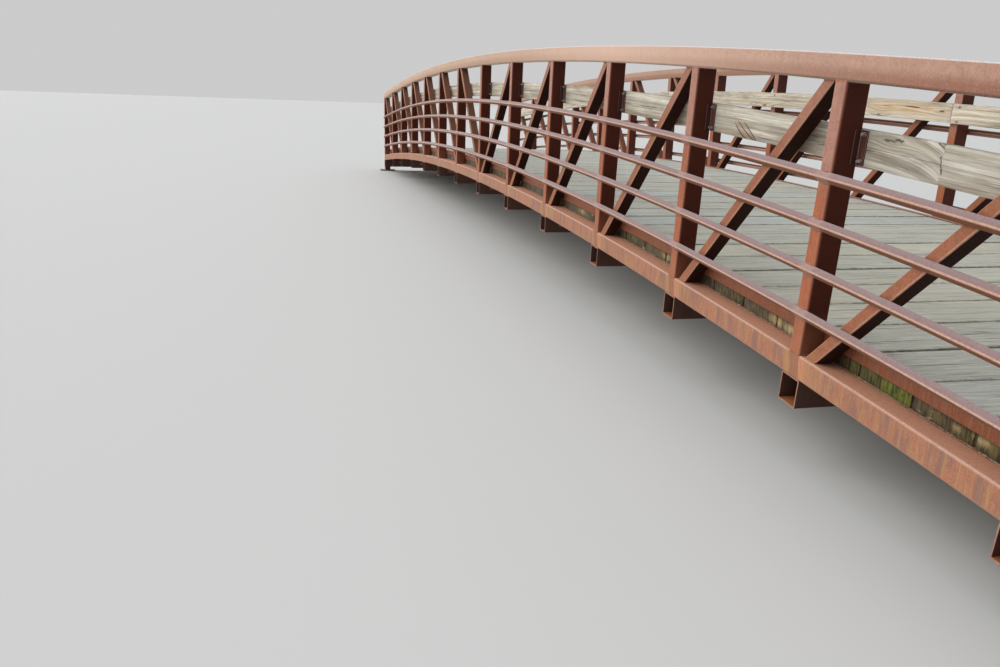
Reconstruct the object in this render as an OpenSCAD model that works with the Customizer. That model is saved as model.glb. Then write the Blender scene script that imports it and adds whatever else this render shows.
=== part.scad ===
/* [Span] */
// Number of truss bays between the two end posts
bay_count = 14; // [6:2:20]
// Length of one bay along the bottom chord
bay_len = 1219.2; // [900:10:1800]
// Bays from mid-span to the seam where the next length of steel is butt welded on
seam_bays = 4; // [2:1:5]
// Radius of the upward camber, at the top face of the bottom chord
camber_radius = 88400; // [60000:100:140000]

/* [Trusses] */
// Clear width between the inner faces of the two trusses
clear_width = 2575; // [1800:5:3600]
// Clear height between the two chords
web_height = 1090; // [800:5:1400]
// Outside size of the square chord tubes
chord_size = 101.6; // [76.2:12.7:152.4]
// Wall of the chord tubes
chord_wall = 6.35; // [4:0.05:10]
// Outside corner radius of all square and oblong tubes
tube_corner = 4.8; // [3:0.1:7]
// Width of a vertical along the bridge
vertical_width = 76.2; // [50.8:12.7:101.6]
// Wall of the verticals and diagonals
web_wall = 4.8; // [3:0.1:6.4]
// Width of a diagonal, seen from the side
diagonal_width = 50.8; // [38.1:12.7:76.2]
// Depth of a diagonal across the truss
diagonal_depth = 76.2; // [50.8:12.7:101.6]
// Distance from a vertical's centre to where a diagonal's centre line meets the chord
diagonal_offset = 94; // [70:1:140]

/* [Safety rails] */
// Number of rails on the outside of each truss
rail_count = 4; // [2:1:5]
// Height of the lowest rail's heel above the bottom chord
rail_first = 172; // [120:1:220]
// Spacing of the rails
rail_pitch = 186; // [120:1:190]
// Leg of the angle that makes a rail
rail_leg = 31.75; // [25:0.25:40]
// Thickness of the rail angle
rail_thick = 4.8; // [3:0.1:6.4]

/* [Rub rails] */
// Height of a rub rail board
rub_height = 139.7; // [89:0.1:184]
// Thickness of a rub rail board
rub_thick = 38.1; // [25:0.1:50]
// Height of the rub rail's lower edge above the bottom chord
rub_base = 782; // [600:1:900]
// Number of bays between mid-span and the next joint of a rub rail
rub_bays = 3; // [2:1:4]
// Gap between two rub rail boards end to end
rub_gap = 4; // [2:1:10]

/* [Deck] */
// Number of planks in one bay
planks_per_bay = 4; // [3:1:8]
// Thickness of a deck plank
plank_thick = 101.6; // [38:0.1:127]
// Gap between two deck planks
plank_gap = 8.8; // [4:0.1:14]
// Distance that the whole deck is laid off the panel points, towards the fixed end
plank_shift = 27; // [0:1:40]
// Leg of the angle that holds down the plank ends
edge_leg = 50.8; // [25:0.1:65]
// Thickness of the edge angle
edge_thick = 4.8; // [3:0.1:6.4]

/* [Floor] */
// Outside size of the square floor beams
beam_size = 127; // [101.6:12.7:152.4]
// Wall of the floor beams
beam_wall = 6.35; // [4:0.05:10]
// Depth of the stringers that carry the planks
stringer_depth = 101.6; // [76.2:12.7:152.4]
// Width of a stringer
stringer_width = 50.8; // [38.1:12.7:76.2]
// Number of stringers
stringer_count = 4; // [3:1:6]
// Outside size of the square wind bracing tubes
brace_size = 38.1; // [31.75:6.35:63.5]

/* [Bearings] */
// Thickness of a bearing plate
plate_thick = 19; // [12:1:30]
// Length of a bearing plate along the bridge
plate_len = 203; // [150:1:260]
// Width of a bearing plate across the bridge
plate_width = 280; // [240:1:320]
// Height from the ground to the underside of the end floor beams
bearing_height = 75; // [55:1:150]
// Radius of an anchor hole
anchor_radius = 11; // [8:0.5:14]
// Spacing of the four anchor holes of a plate along the bridge
anchor_along = 130; // [120:1:150]
// Spacing of the anchor holes across the bridge
anchor_across = 220; // [160:1:230]
// Overall length of the slotted holes at the sliding end
anchor_slot = 50; // [30:1:60]

/* [Hidden] */

steel = [0.55, 0.34, 0.27];
rail_steel = [0.62, 0.44, 0.42];
dark_steel = [0.36, 0.22, 0.18];
timber = [0.64, 0.66, 0.60];
rub_timber = [0.74, 0.70, 0.62];

// Fragments of a whole turn, so that a swept arc strays under 0.1 mm from the true curve
arc_fn = 2880;
corner_fn = 32;

half_bays = bay_count / 2;
deg_per_mm = 180 / (PI * camber_radius);
end_station = half_bays * bay_len;
chord_end = end_station + vertical_width / 2;
end_angle = end_station * deg_per_mm;

// Y of the inner face, middle and outer face of the near truss
inner_face = -clear_width / 2;
truss_mid = inner_face - chord_size / 2;
outer_face = inner_face - chord_size;

// Gap between the plank ends and the edge angle
plank_end_gap = 2;

// Root gap of a butt weld
seam_gap = 0.4;

// Heights above the top face of the bottom chord, measured square to the camber
beam_top = -chord_size;
beam_mid = beam_top - beam_size / 2;
beam_bottom = beam_top - beam_size;
plank_base = beam_top + stringer_depth;
plank_top = plank_base + plank_thick;
plank_pitch = bay_len / planks_per_bay;
plank_end = inner_face + edge_thick + plank_end_gap;

// The underside of the end floor beams sits at the bearing height
centre_z = bearing_height - (camber_radius + beam_bottom) * cos(end_angle);
bearing_x = (camber_radius + beam_bottom) * sin(end_angle);
planks_total = bay_count * planks_per_bay;
planks_side = floor(planks_total / 3);

// Turns children by the camber so that their Z axis is square to the chord at a station
module at_station(s) {
    translate([0, 0, centre_z])
        rotate([0, s * deg_per_mm, 0])
            translate([0, 0, camber_radius])
                children();
}

// Sweeps a profile, drawn as [height above the chord, -Y], along the camber
module camber_sweep(s0, s1) {
    translate([0, 0, centre_z])
        rotate([90, 0, 0])
            rotate([0, 0, 90 - s1 * deg_per_mm])
                rotate_extrude(angle = (s1 - s0) * deg_per_mm, $fn = arc_fn)
                    translate([camber_radius, 0])
                        children();
}

// The long steel members come in four lengths, butt welded at mid-span and to each side of it
module welded_sweep() {
    seam = seam_bays * bay_len;
    camber_sweep(-chord_end, -seam - seam_gap / 2)
        children();
    camber_sweep(-seam + seam_gap / 2, -seam_gap / 2)
        children();
    camber_sweep(seam_gap / 2, seam - seam_gap / 2)
        children();
    camber_sweep(seam + seam_gap / 2, chord_end)
        children();
}

module far_side() {
    mirror([0, 1, 0])
        children();
}

// Square with rounded corners, centred
module rounded_rect(w, h, r) {
    union() {
        square([w - 2 * r, h], center = true);
        square([w, h - 2 * r], center = true);
        for (sx = [-1, 1], sy = [-1, 1])
            translate([sx * (w / 2 - r), sy * (h / 2 - r)])
                circle(r = r, $fn = corner_fn);
    }
}

// Tube section with tight outer corners and a square inside
module tube_section(w, h, wall) {
    difference() {
        rounded_rect(w, h, tube_corner);
        square([w - 2 * wall, h - 2 * wall], center = true);
    }
}

module bottom_chord() {
    color(steel)
        welded_sweep()
            translate([-chord_size / 2, -truss_mid])
                tube_section(chord_size, chord_size, chord_wall);
}

module top_chord() {
    color(steel)
        welded_sweep()
            translate([web_height + chord_size / 2, -truss_mid])
                tube_section(chord_size, chord_size, chord_wall);
}

// Flat caps welded over the open ends of the four chords
module chord_end_caps() {
    cap_thick = 4.8;
    color(steel)
        for (side = [0, 1], end = [-1, 1], h = [-chord_size / 2, web_height + chord_size / 2])
            mirror([0, side, 0])
                at_station(end * chord_end)
                    translate([end * cap_thick / 2, truss_mid, h])
                        rotate([90, 0, 90])
                            linear_extrude(height = cap_thick, center = true)
                                rounded_rect(chord_size, chord_size, tube_corner);
}

module web_post(s) {
    at_station(s)
        translate([0, truss_mid, 0])
            linear_extrude(height = web_height)
                tube_section(vertical_width, chord_size, web_wall);
}

module verticals() {
    color(steel)
        for (k = [1 - half_bays : half_bays - 1])
            web_post(k * bay_len);
}

module end_posts() {
    color(steel)
        for (end = [-1, 1])
            web_post(end * end_station);
}

// Point in the XZ plane at a station and a height above the bottom chord
function camber_point(s, h) = [
    (camber_radius + h) * sin(s * deg_per_mm),
    centre_z + (camber_radius + h) * cos(s * deg_per_mm)
];

// Slab of the truss's thickness, square to the camber at a station, between two heights
module web_slab(s, h0, h1) {
    at_station(s)
        translate([-bay_len, truss_mid - chord_size / 2, h0])
            cube([2 * bay_len, chord_size, h1 - h0]);
}

// One diagonal, its ends cut flat to the chords' faces at its foot and at its head
module diagonal(foot_s, head_s) {
    foot = camber_point(foot_s, 0);
    head = camber_point(head_s, web_height);
    run = head - foot;
    lead = diagonal_width;
    intersection() {
        translate([foot[0], truss_mid, foot[1]])
            rotate([0, atan2(run[0], run[1]), 0])
                translate([0, 0, -lead])
                    linear_extrude(height = norm(run) + 2 * lead)
                        tube_section(diagonal_width, diagonal_depth, web_wall);
        web_slab(foot_s, 0, 2 * web_height);
        web_slab(head_s, -web_height, web_height);
    }
}

// Each diagonal stands by the vertical nearer mid-span and leans out to the next one
module diagonals() {
    color(steel)
        for (dir = [-1, 1], k = [0 : half_bays - 1])
            diagonal(
                dir * (k * bay_len + diagonal_offset),
                dir * ((k + 1) * bay_len - diagonal_offset)
            );
}

// Angle with its heel pointing outwards and its two toes against the verticals
module rail_section() {
    difference() {
        rotate(45)
            square(rail_leg, center = true);
        rotate(45)
            translate([-rail_thick, -rail_thick])
                square(rail_leg, center = true);
        translate([-rail_leg, -2 * rail_leg])
            square([2 * rail_leg, 2 * rail_leg]);
    }
}

module safety_rail(n) {
    color(rail_steel)
        welded_sweep()
            translate([rail_first + (n - 1) * rail_pitch, -outer_face])
                rail_section();
}

// Boards butt end to end at mid-span and at one more vertical to each side of it
module rub_board(bay0, bay1) {
    overhang = vertical_width / 2 + rub_gap / 2;
    s0 = bay0 * bay_len + rub_gap / 2 - (bay0 == -half_bays ? overhang : 0);
    s1 = bay1 * bay_len - rub_gap / 2 + (bay1 == half_bays ? overhang : 0);
    camber_sweep(s0, s1)
        translate([rub_base, -inner_face - rub_thick])
            square([rub_height, rub_thick]);
}

module rub_rail(joint_left, joint_right) {
    color(rub_timber) {
        rub_board(-half_bays, joint_left);
        rub_board(joint_left, 0);
        rub_board(0, joint_right);
        rub_board(joint_right, half_bays);
    }
}

// Short clip angle on the side of each vertical, at its inner corner
module rub_bracket(s, dir) {
    leg_out = 31.75;
    leg_along = 44.45;
    thick = 4.8;
    length = rub_height - 8;
    at_station(s)
        translate([dir * vertical_width / 2, inner_face, rub_base + 4])
            mirror([dir < 0 ? 1 : 0, 0, 0])
                linear_extrude(height = length)
                    difference() {
                        translate([0, -leg_out])
                            square([leg_along, leg_out]);
                        translate([thick, -leg_out - thick])
                            square([leg_along, leg_out]);
                    }
}

module rub_rail_brackets() {
    color(dark_steel)
        for (k = [-half_bays : half_bays])
            rub_bracket(k * bay_len, k == half_bays ? -1 : 1);
}

// Angle over the upper corner of the plank ends
module deck_edge() {
    color(steel)
        welded_sweep()
            translate([plank_top + edge_thick, -inner_face])
                difference() {
                    translate([-edge_leg, -edge_leg])
                        square(edge_leg);
                    translate([-edge_leg - edge_thick, -edge_leg - edge_thick])
                        square(edge_leg);
                }
}

module deck_plank(s) {
    at_station(s)
        translate([0, 0, plank_base + plank_thick / 2])
            cube([plank_pitch - plank_gap, -2 * plank_end, plank_thick], center = true);
}

module deck_planks(first, last) {
    color(timber)
        for (n = [first : last])
            deck_plank((n + 0.5) * plank_pitch - end_station - plank_shift);
}

module floor_beam(s) {
    at_station(s)
        translate([0, 0, beam_mid])
            rotate([90, 0, 0])
                linear_extrude(height = -2 * outer_face, center = true)
                    tube_section(beam_size, beam_size, beam_wall);
}

module floor_beams() {
    color(steel)
        for (k = [1 - half_bays : half_bays - 1])
            floor_beam(k * bay_len);
}

module end_floor_beams() {
    color(steel)
        for (end = [-1, 1])
            floor_beam(end * end_station);
}

// Stringers stand on the floor beams. The outer ones carry the plank ends, close beside the chords
module stringer(n) {
    edge = -plank_end - stringer_width / 2;
    y = -edge + (n - 1) * 2 * edge / (stringer_count - 1);
    color(dark_steel)
        welded_sweep()
            translate([beam_top + stringer_depth / 2, -y])
                tube_section(stringer_depth, stringer_width, web_wall);
}

// Zigzag of tubes between the floor beams, one to a bay, coped to the beams' sides
module wind_brace(k) {
    side = (k % 2 == 0) ? 1 : -1;
    reach = -inner_face - 60;
    run = bay_len - beam_size;
    lead = 2 * brace_size;
    at_station((k + 0.5) * bay_len)
        translate([0, 0, beam_mid])
            intersection() {
                rotate([0, 90, side * atan2(2 * reach, run)])
                    linear_extrude(height = norm([2 * reach, run]) + 2 * lead, center = true)
                        tube_section(brace_size, brace_size, web_wall);
                brace_bay();
            }
}

// Space between the facing sides of two neighbouring floor beams
module brace_bay() {
    half_angle = bay_len * deg_per_mm / 2;
    half_gap = (camber_radius + beam_mid) * tan(half_angle) - beam_size / 2 / cos(half_angle);
    lean = brace_size * tan(half_angle);
    rotate([90, 0, 0])
        linear_extrude(height = -2 * outer_face, center = true)
            polygon([
                [lean - half_gap, -brace_size],
                [half_gap - lean, -brace_size],
                [half_gap + lean, brace_size],
                [-half_gap - lean, brace_size]
            ]);
}

module wind_bracing() {
    color(dark_steel)
        for (k = [-half_bays : half_bays - 1])
            wind_brace(k);
}

// Upright stub of chord tube between the bearing plate and the sloping end floor beam
module bearing_posts() {
    tall = bearing_height + beam_size / 4;
    color(steel)
        for (side = [0, 1], end = [-1, 1])
            mirror([0, side, 0])
                difference() {
                    translate([end * bearing_x, truss_mid, plate_thick])
                        linear_extrude(height = tall - plate_thick)
                            tube_section(chord_size, chord_size, chord_wall);
                    at_station(end * end_station)
                        translate([0, truss_mid, beam_bottom + chord_size])
                            cube([3 * chord_size, 2 * chord_size, 2 * chord_size], center = true);
                }
}

// Round hole, or a slot along the bridge when the slot is longer than the hole is wide
module anchor_hole(slot_len) {
    reach = slot_len / 2 - anchor_radius;
    for (x = reach > 0 ? [-reach, reach] : [0])
        translate([x, 0])
            circle(r = anchor_radius, $fn = 48);
    if (reach > 0)
        square([2 * reach, 2 * anchor_radius], center = true);
}

// Level plates on the ground, with an anchor hole near each corner
module bearing_plates(end, slot_len) {
    color(dark_steel)
        for (side = [0, 1])
            mirror([0, side, 0])
                translate([end * bearing_x, truss_mid, 0])
                    linear_extrude(height = plate_thick)
                        difference() {
                            square([plate_len, plate_width], center = true);
                            for (sx = [-1, 1], sy = [-1, 1])
                                translate([sx * anchor_along / 2, sy * anchor_across / 2])
                                    anchor_hole(slot_len);
                        }
}

bottom_chord();  // bottom_chord_near
far_side() bottom_chord();  // bottom_chord_far
top_chord();  // top_chord_near
far_side() top_chord();  // top_chord_far
end_posts();  // end_posts_near
far_side() end_posts();  // end_posts_far
verticals();  // verticals_near
far_side() verticals();  // verticals_far
diagonals();  // diagonals_near
far_side() diagonals();  // diagonals_far
safety_rail(1);  // safety_rail_1_near
safety_rail(2);  // safety_rail_2_near
safety_rail(3);  // safety_rail_3_near
safety_rail(4);  // safety_rail_4_near
far_side() safety_rail(1);  // safety_rail_1_far
far_side() safety_rail(2);  // safety_rail_2_far
far_side() safety_rail(3);  // safety_rail_3_far
far_side() safety_rail(4);  // safety_rail_4_far
rub_rail(-rub_bays, rub_bays + 1);  // rub_rail_near
far_side() rub_rail(-rub_bays - 1, rub_bays);  // rub_rail_far
rub_rail_brackets();  // rub_rail_brackets_near
far_side() rub_rail_brackets();  // rub_rail_brackets_far
deck_edge();  // deck_edge_near
far_side() deck_edge();  // deck_edge_far
chord_end_caps();
deck_planks(0, planks_side - 1);  // deck_planks_left
deck_planks(planks_side, planks_total - planks_side - 1);  // deck_planks_middle
deck_planks(planks_total - planks_side, planks_total - 1);  // deck_planks_right
floor_beams();
end_floor_beams();
stringer(1);  // stringer_1
stringer(2);  // stringer_2
stringer(3);  // stringer_3
stringer(4);  // stringer_4
wind_bracing();
bearing_posts();
bearing_plates(-1, 0);  // bearing_plates_fixed
bearing_plates(1, anchor_slot);  // bearing_plates_sliding
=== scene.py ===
# %% [markdown]
# # A trussed footbridge in weathering steel and timber
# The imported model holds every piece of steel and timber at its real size. This lesson keeps the
# tubes that are right as they are, gives them their rust, and works out the pieces whose finish is
# in their shape: sawn planks, worn boards, rounded angles, welds, nuts and bolts.

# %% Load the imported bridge
import math
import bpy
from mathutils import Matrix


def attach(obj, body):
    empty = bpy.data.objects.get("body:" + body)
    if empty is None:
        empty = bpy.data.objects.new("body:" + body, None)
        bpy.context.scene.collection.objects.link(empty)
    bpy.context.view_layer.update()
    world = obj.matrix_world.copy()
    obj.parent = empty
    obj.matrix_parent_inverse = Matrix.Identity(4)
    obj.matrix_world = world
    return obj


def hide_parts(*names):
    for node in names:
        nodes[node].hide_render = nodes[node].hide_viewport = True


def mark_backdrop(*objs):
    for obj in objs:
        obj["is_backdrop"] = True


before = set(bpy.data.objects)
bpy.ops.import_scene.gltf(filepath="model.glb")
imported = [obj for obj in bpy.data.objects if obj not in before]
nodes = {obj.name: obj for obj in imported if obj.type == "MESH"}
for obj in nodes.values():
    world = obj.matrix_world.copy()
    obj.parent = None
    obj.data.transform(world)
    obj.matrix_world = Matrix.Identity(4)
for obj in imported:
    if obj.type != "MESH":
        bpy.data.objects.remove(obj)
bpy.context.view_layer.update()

from types import SimpleNamespace

import bpy
import numpy as np
from mathutils import Matrix, Vector

print("pieces of the packed bridge:", len(nodes))

# %% [markdown]
# ## The camber
# Every long member follows one arc: it rises gently to mid-span and falls again. A place on the
# bridge is easiest to say as three numbers: how far along the arc, how far across, and how high
# above the bottom chord. One function turns these into x, y and z, so each long piece is drawn as
# if the bridge were straight. A second one stands short straight pieces at their own stations.

# %% The bridge's main sizes, in metres
BAY = 1.2192
HALF_BAYS = 7
ARC_RADIUS = 88.4
WEB_HEIGHT = 1.090
CHORD = 0.1016
HALF_POST = 0.0762 / 2
DIAGONAL_WIDTH = 0.0508
DIAGONAL_FOOT = 0.094
DIAGONAL_RUN = BAY - 2 * DIAGONAL_FOOT
DIAGONAL_LEAN = math.atan2(DIAGONAL_RUN, WEB_HEIGHT)
TUBE_CORNER = 0.0048
ANGLE_THICK = 0.0048
FLOOR_BEAM = 0.127
INNER_FACE = 1.2875
OUTER_FACE = INNER_FACE + CHORD
TRUSS_MID = INNER_FACE + CHORD / 2
PLANK_THICK = 0.1016
LOWEST_RAIL, RAIL_STEP = 0.172, 0.186
BEARING_HEIGHT = 0.075
END = HALF_BAYS * BAY
ARC_CENTRE = BEARING_HEIGHT - (ARC_RADIUS - CHORD - FLOOR_BEAM) * math.cos(END / ARC_RADIUS)
SIDES = {"near": -1.0, "far": 1.0}
BODY = "root"


def on_camber(along, across, height):
    """x = (R + height) sin(along / R), y = across, z = centre + (R + height) cos(along / R)."""
    along, across, height = np.broadcast_arrays(along, across, height)
    turn, radius = along / ARC_RADIUS, ARC_RADIUS + height
    return np.stack([radius * np.sin(turn), across, ARC_CENTRE + radius * np.cos(turn)], axis=-1)


def stood_at(local, station, side=1.0):
    """Straight pieces, a (count, rows, ring, 3) stack of (along, outwards, up), each turned by
    station / R and moved to its station on the arc."""
    turn = (station / ARC_RADIUS)[:, None, None]
    radius = ARC_RADIUS + local[..., 2]
    return np.stack([
        radius * np.sin(turn) + local[..., 0] * np.cos(turn), side * local[..., 1],
        ARC_CENTRE + radius * np.cos(turn) - local[..., 0] * np.sin(turn)], axis=-1)


crown = on_camber(0.0, 0.0, 0.0)
print("mid-span, top of the bottom chord:", np.round(crown, 4).tolist())

# %% [markdown]
# ## The camera
# It stands off the right-hand end, just outside the near truss, and looks back along the span and
# a little down. Its place, its turn and its lens were worked out from the way the bays shrink with
# distance, so they are plain numbers here.

# %% Camera at the photograph's angle
LENS_IN_WIDTHS = 0.86815
SENSOR_MM = 36.0
EYE = np.array([9.15575, -2.0606 - OUTER_FACE, 0.7728 + crown[2]])
YAW, PITCH, ROLL = -1.3181, -0.2653, 0.0363


def camera_axes(yaw, pitch, roll):
    """Right, up and backward of a camera that is turned by yaw, tipped by pitch and rolled."""
    forward = np.array([
        math.sin(yaw) * math.cos(pitch), math.cos(yaw) * math.cos(pitch), math.sin(pitch)])
    level = np.array([math.cos(yaw), -math.sin(yaw), 0.0])
    above = np.cross(level, forward)
    right = math.cos(roll) * level + math.sin(roll) * above
    return right, math.cos(roll) * above - math.sin(roll) * level, -forward


def make_camera():
    """The camera's matrix has its three axes as columns."""
    data = bpy.data.cameras.new("photo_camera")
    data.sensor_width = SENSOR_MM
    data.sensor_fit = "HORIZONTAL"
    data.lens = LENS_IN_WIDTHS * SENSOR_MM
    data.clip_end = 500.0
    camera = bpy.data.objects.new("photo_camera", data)
    turn = Matrix(np.column_stack(camera_axes(YAW, PITCH, ROLL)).tolist()).to_4x4()
    camera.matrix_world = Matrix.Translation(EYE.tolist()) @ turn
    bpy.context.scene.collection.objects.link(camera)
    bpy.context.scene.camera = camera
    return camera


print("lens:", round(make_camera().data.lens, 2), "mm")

# %% [markdown]
# ## Floor and light
# A plain pale floor and soft light let the rust and the timber speak. Three very wide suns give
# the soft light of a calm evening: one overhead, one from the open side of the near truss, and a
# low one beyond the far end, which skims the deck and the chords. The world adds an even, weaker
# light, and a mix on camera rays lets the backdrop show as pale as the floor without lighting the
# bridge more.

# %% Floor, sky and suns
HALF_FLOOR = 130.0
FLOOR_GREY = (0.60, 0.60, 0.59, 1.0)
SKY_LIGHT = (0.27, 0.285, 0.30, 1.0)
BACKDROP = (0.60, 0.60, 0.60, 1.0)
# Name, direction of the light's source, strength, width in degrees, colour
SUNS = (
    ("overhead", (-0.10, -0.10, 1.0), 1.15, 110.0, (0.95, 0.98, 1.0)),
    ("open_side", (-0.30, -1.0, 0.62), 1.75, 55.0, (1.0, 0.975, 0.94)),
    ("far_end", (-1.0, -0.30, 0.26), 1.5, 50.0, (1.0, 0.98, 0.95)))


def make_floor():
    """One square on the ground."""
    mesh = bpy.data.meshes.new("studio_floor")
    corners = np.array([(-1, -1, 0), (1, -1, 0), (1, 1, 0), (-1, 1, 0)]) * HALF_FLOOR
    mesh.from_pydata(corners, [], [(0, 1, 2, 3)])
    floor = bpy.data.objects.new("studio_floor", mesh)
    bpy.context.scene.collection.objects.link(floor)
    paint = bpy.data.materials.new("pale_floor")
    paint.use_nodes = True
    shader = paint.node_tree.nodes["Principled BSDF"]
    shader.inputs["Base Color"].default_value = FLOOR_GREY
    shader.inputs["Roughness"].default_value = 0.95
    mesh.materials.append(paint)
    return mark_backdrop(floor)


def make_sun(name, towards, strength, width, colour):
    """A sun that shines from a direction; the wider it is, the softer its shadows."""
    data = bpy.data.lights.new(name, "SUN")
    data.energy = strength
    data.angle = math.radians(width)
    data.color = colour
    sun = bpy.data.objects.new(name, data)
    sun.rotation_euler = Vector(towards).to_track_quat("Z", "Y").to_euler()
    sun.location = Vector(towards).normalized() * 30.0
    bpy.context.scene.collection.objects.link(sun)


def make_sky():
    """World light of one colour, with the backdrop's own colour where the camera looks at it."""
    world = bpy.data.worlds.new("soft_sky")
    world.use_nodes = True
    tree = world.node_tree
    mix = tree.nodes.new("ShaderNodeMix")
    mix.data_type = "RGBA"
    rays = tree.nodes.new("ShaderNodeLightPath")
    tree.links.new(rays.outputs["Is Camera Ray"], mix.inputs[0])
    mix.inputs[6].default_value, mix.inputs[7].default_value = SKY_LIGHT, BACKDROP
    tree.links.new(mix.outputs[2], tree.nodes["Background"].inputs["Color"])
    bpy.context.scene.world = world


make_floor()
make_sky()
for sun in SUNS:
    make_sun(*sun)
bpy.context.scene.view_settings.view_transform = "Standard"
print("suns:", [sun[0] for sun in SUNS])

# %% [markdown]
# ## Words for building a material
# A procedural material is a sum over noise patterns. To keep it readable as a sum, an output of a
# node is wrapped as a value whose plus, minus and times signs add the arithmetic nodes. Short
# helpers make noise, spread a narrow band of a pattern over the range from 0 to 1, and lay colours
# over one another by masks. A decorator makes a node group of a function, so an effect is built
# once and used in many materials.

# %% Values whose signs add nodes


def joined_by(operation, swapped=False):
    """A method that puts one arithmetic node between a value and another."""
    def method(self, other=0.0):
        pair = (other, self) if swapped else (self, other)
        return Value(add_node(self.tree, "Math", enumerate(pair), operation=operation).outputs[0])
    return method


class Value:
    """A number, colour or vector in a shader tree."""
    __add__ = __radd__ = joined_by("ADD")
    __mul__ = __rmul__ = joined_by("MULTIPLY")
    __sub__, __rsub__ = joined_by("SUBTRACT"), joined_by("SUBTRACT", swapped=True)
    __truediv__, __pow__ = joined_by("DIVIDE"), joined_by("POWER")
    __abs__ = joined_by("ABSOLUTE")
    above, below = joined_by("GREATER_THAN"), joined_by("LESS_THAN")
    larger, smaller = joined_by("MAXIMUM"), joined_by("MINIMUM")
    fraction, root, sign = joined_by("FRACT"), joined_by("SQRT"), joined_by("SIGN")
    sine, exponent, atan2 = joined_by("SINE"), joined_by("EXPONENT"), joined_by("ARCTAN2")

    def __init__(self, socket):
        self.socket, self.tree = socket, socket.id_data


def put(socket, value):
    """Joins a value to a socket, or sets a plain number or colour on it."""
    if isinstance(value, Value):
        value.tree.links.new(value.socket, socket)
    elif isinstance(value, tuple) and socket.type == "RGBA":
        socket.default_value = (*value, 1.0)
    else:
        socket.default_value = value


def add_node(tree, kind, inputs=(), **settings):
    """A node with its settings, and its inputs by name or number."""
    node = tree.nodes.new("ShaderNode" + kind)
    for name, setting in settings.items():
        setattr(node, name, setting)
    for key, value in dict(inputs).items():
        put(node.inputs[key], value)
    return node


print("values are ready: their signs add arithmetic nodes")

# %% Noise, and colours in layers


def noise(vector, scale, detail=3.0, roughness=0.55, distortion=0.0):
    """Fractal noise between 0 and 1 at a scale in patterns a metre. With three numbers for the
    scale, one for each axis, the pattern is drawn out along one of them."""
    if isinstance(scale, tuple):
        vector, scale = stretched(vector, scale), 1.0
    node = add_node(vector.tree, "TexNoise", {
        "Vector": vector, "Scale": scale, "Detail": detail, "Roughness": roughness,
        "Distortion": distortion})
    return Value(node.outputs["Fac"])


def stretched(vector, scale, shift=(0.0, 0.0, 0.0)):
    """A place with each axis scaled and shifted."""
    node = add_node(vector.tree, "Mapping", {"Vector": vector, "Scale": scale, "Location": shift})
    return Value(node.outputs["Vector"])


def spread(value, low, high, to_low=0.0, to_high=1.0):
    """Maps low..high smoothly onto to_low..to_high and holds it there beyond."""
    node = add_node(value.tree, "MapRange", {
        "Value": value, "From Min": low, "From Max": high, "To Min": to_low, "To Max": to_high},
        interpolation_type="SMOOTHSTEP")
    return Value(node.outputs["Result"])


def tint(amount, under, over):
    """A colour with another laid over it by an amount."""
    node = add_node(amount.tree, "Mix", {0: amount, 6: under, 7: over}, data_type="RGBA")
    return Value(node.outputs[2])


def layered(colour, *layers):
    """Lays colours over one another, each by its mask."""
    for mask, over in layers:
        colour = tint(mask, colour, over)
    return colour


print("noise, spreads and layers are ready")

# %% Places and directions


def place(tree):
    """Object coordinates, in metres."""
    return Value(add_node(tree, "TexCoord").outputs["Object"])


def parts_of(vector):
    """The x, y and z of a vector."""
    return [Value(socket) for socket in add_node(vector.tree, "SeparateXYZ", {0: vector}).outputs]


def vector_of(x, y, z):
    """Three numbers as one vector."""
    return Value(add_node(x.tree, "CombineXYZ", enumerate((x, y, z))).outputs[0])


def facing(tree):
    """The x, y and z of the way the surface faces."""
    return parts_of(Value(add_node(tree, "NewGeometry").outputs["Normal"]))


print("places and directions are ready")

# %% Node groups and materials


def as_group(**inputs):
    """Makes a node group of a function that takes a tree and named inputs and returns its named
    outputs. An input whose default is a tuple is a colour, and so is an output named colour."""
    def build(make):
        tree = bpy.data.node_groups.new(make.__name__, "ShaderNodeTree")

        def add_socket(label, way, is_colour):
            kind = "NodeSocketColor" if is_colour else "NodeSocketFloat"
            return tree.interface.new_socket(label, in_out=way, socket_type=kind)

        for label, default in inputs.items():
            is_colour = isinstance(default, tuple)
            socket = add_socket(label, "INPUT", is_colour)
            socket.default_value = (*default, 1.0) if is_colour else default
        entry = tree.nodes.new("NodeGroupInput").outputs
        made = make(tree, **{label: Value(entry[label]) for label in inputs})
        for label in made:
            add_socket(label, "OUTPUT", label == "colour")
        leave = tree.nodes.new("NodeGroupOutput").inputs
        for label, value in made.items():
            put(leave[label], value)
        print("group:", tree.name, "->", ", ".join(made))
        return tree
    return build


def use(tree, group, **values):
    """Places a group in a tree with its inputs by name, and returns its outputs by name."""
    node = add_node(tree, "Group", values, node_tree=group)
    return SimpleNamespace(**{socket.name: Value(socket) for socket in node.outputs})


def new_material(name, **numbers):
    """A material, its tree and its shader. Plain numbers are set by name, with _ for a space."""
    material = bpy.data.materials.new(name)
    material.use_nodes = True
    shader = material.node_tree.nodes["Principled BSDF"]
    for label, number in numbers.items():
        put(shader.inputs[label.replace("_", " ")], number)
    return material, material.node_tree, shader


def dress(shader, colour, roughness, relief, strength, distance):
    """Joins colour, roughness and a bump, whose full height is distance in metres, to a shader."""
    bump = add_node(relief.tree, "Bump", {
        "Height": relief, "Strength": strength, "Distance": distance})
    put(shader.inputs["Base Color"], colour)
    put(shader.inputs["Roughness"], roughness)
    put(shader.inputs["Normal"], Value(bump.outputs["Normal"]))


NUMBER, COLOUR = 0.0, (0.5, 0.5, 0.5)
print("groups and materials are ready")

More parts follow.
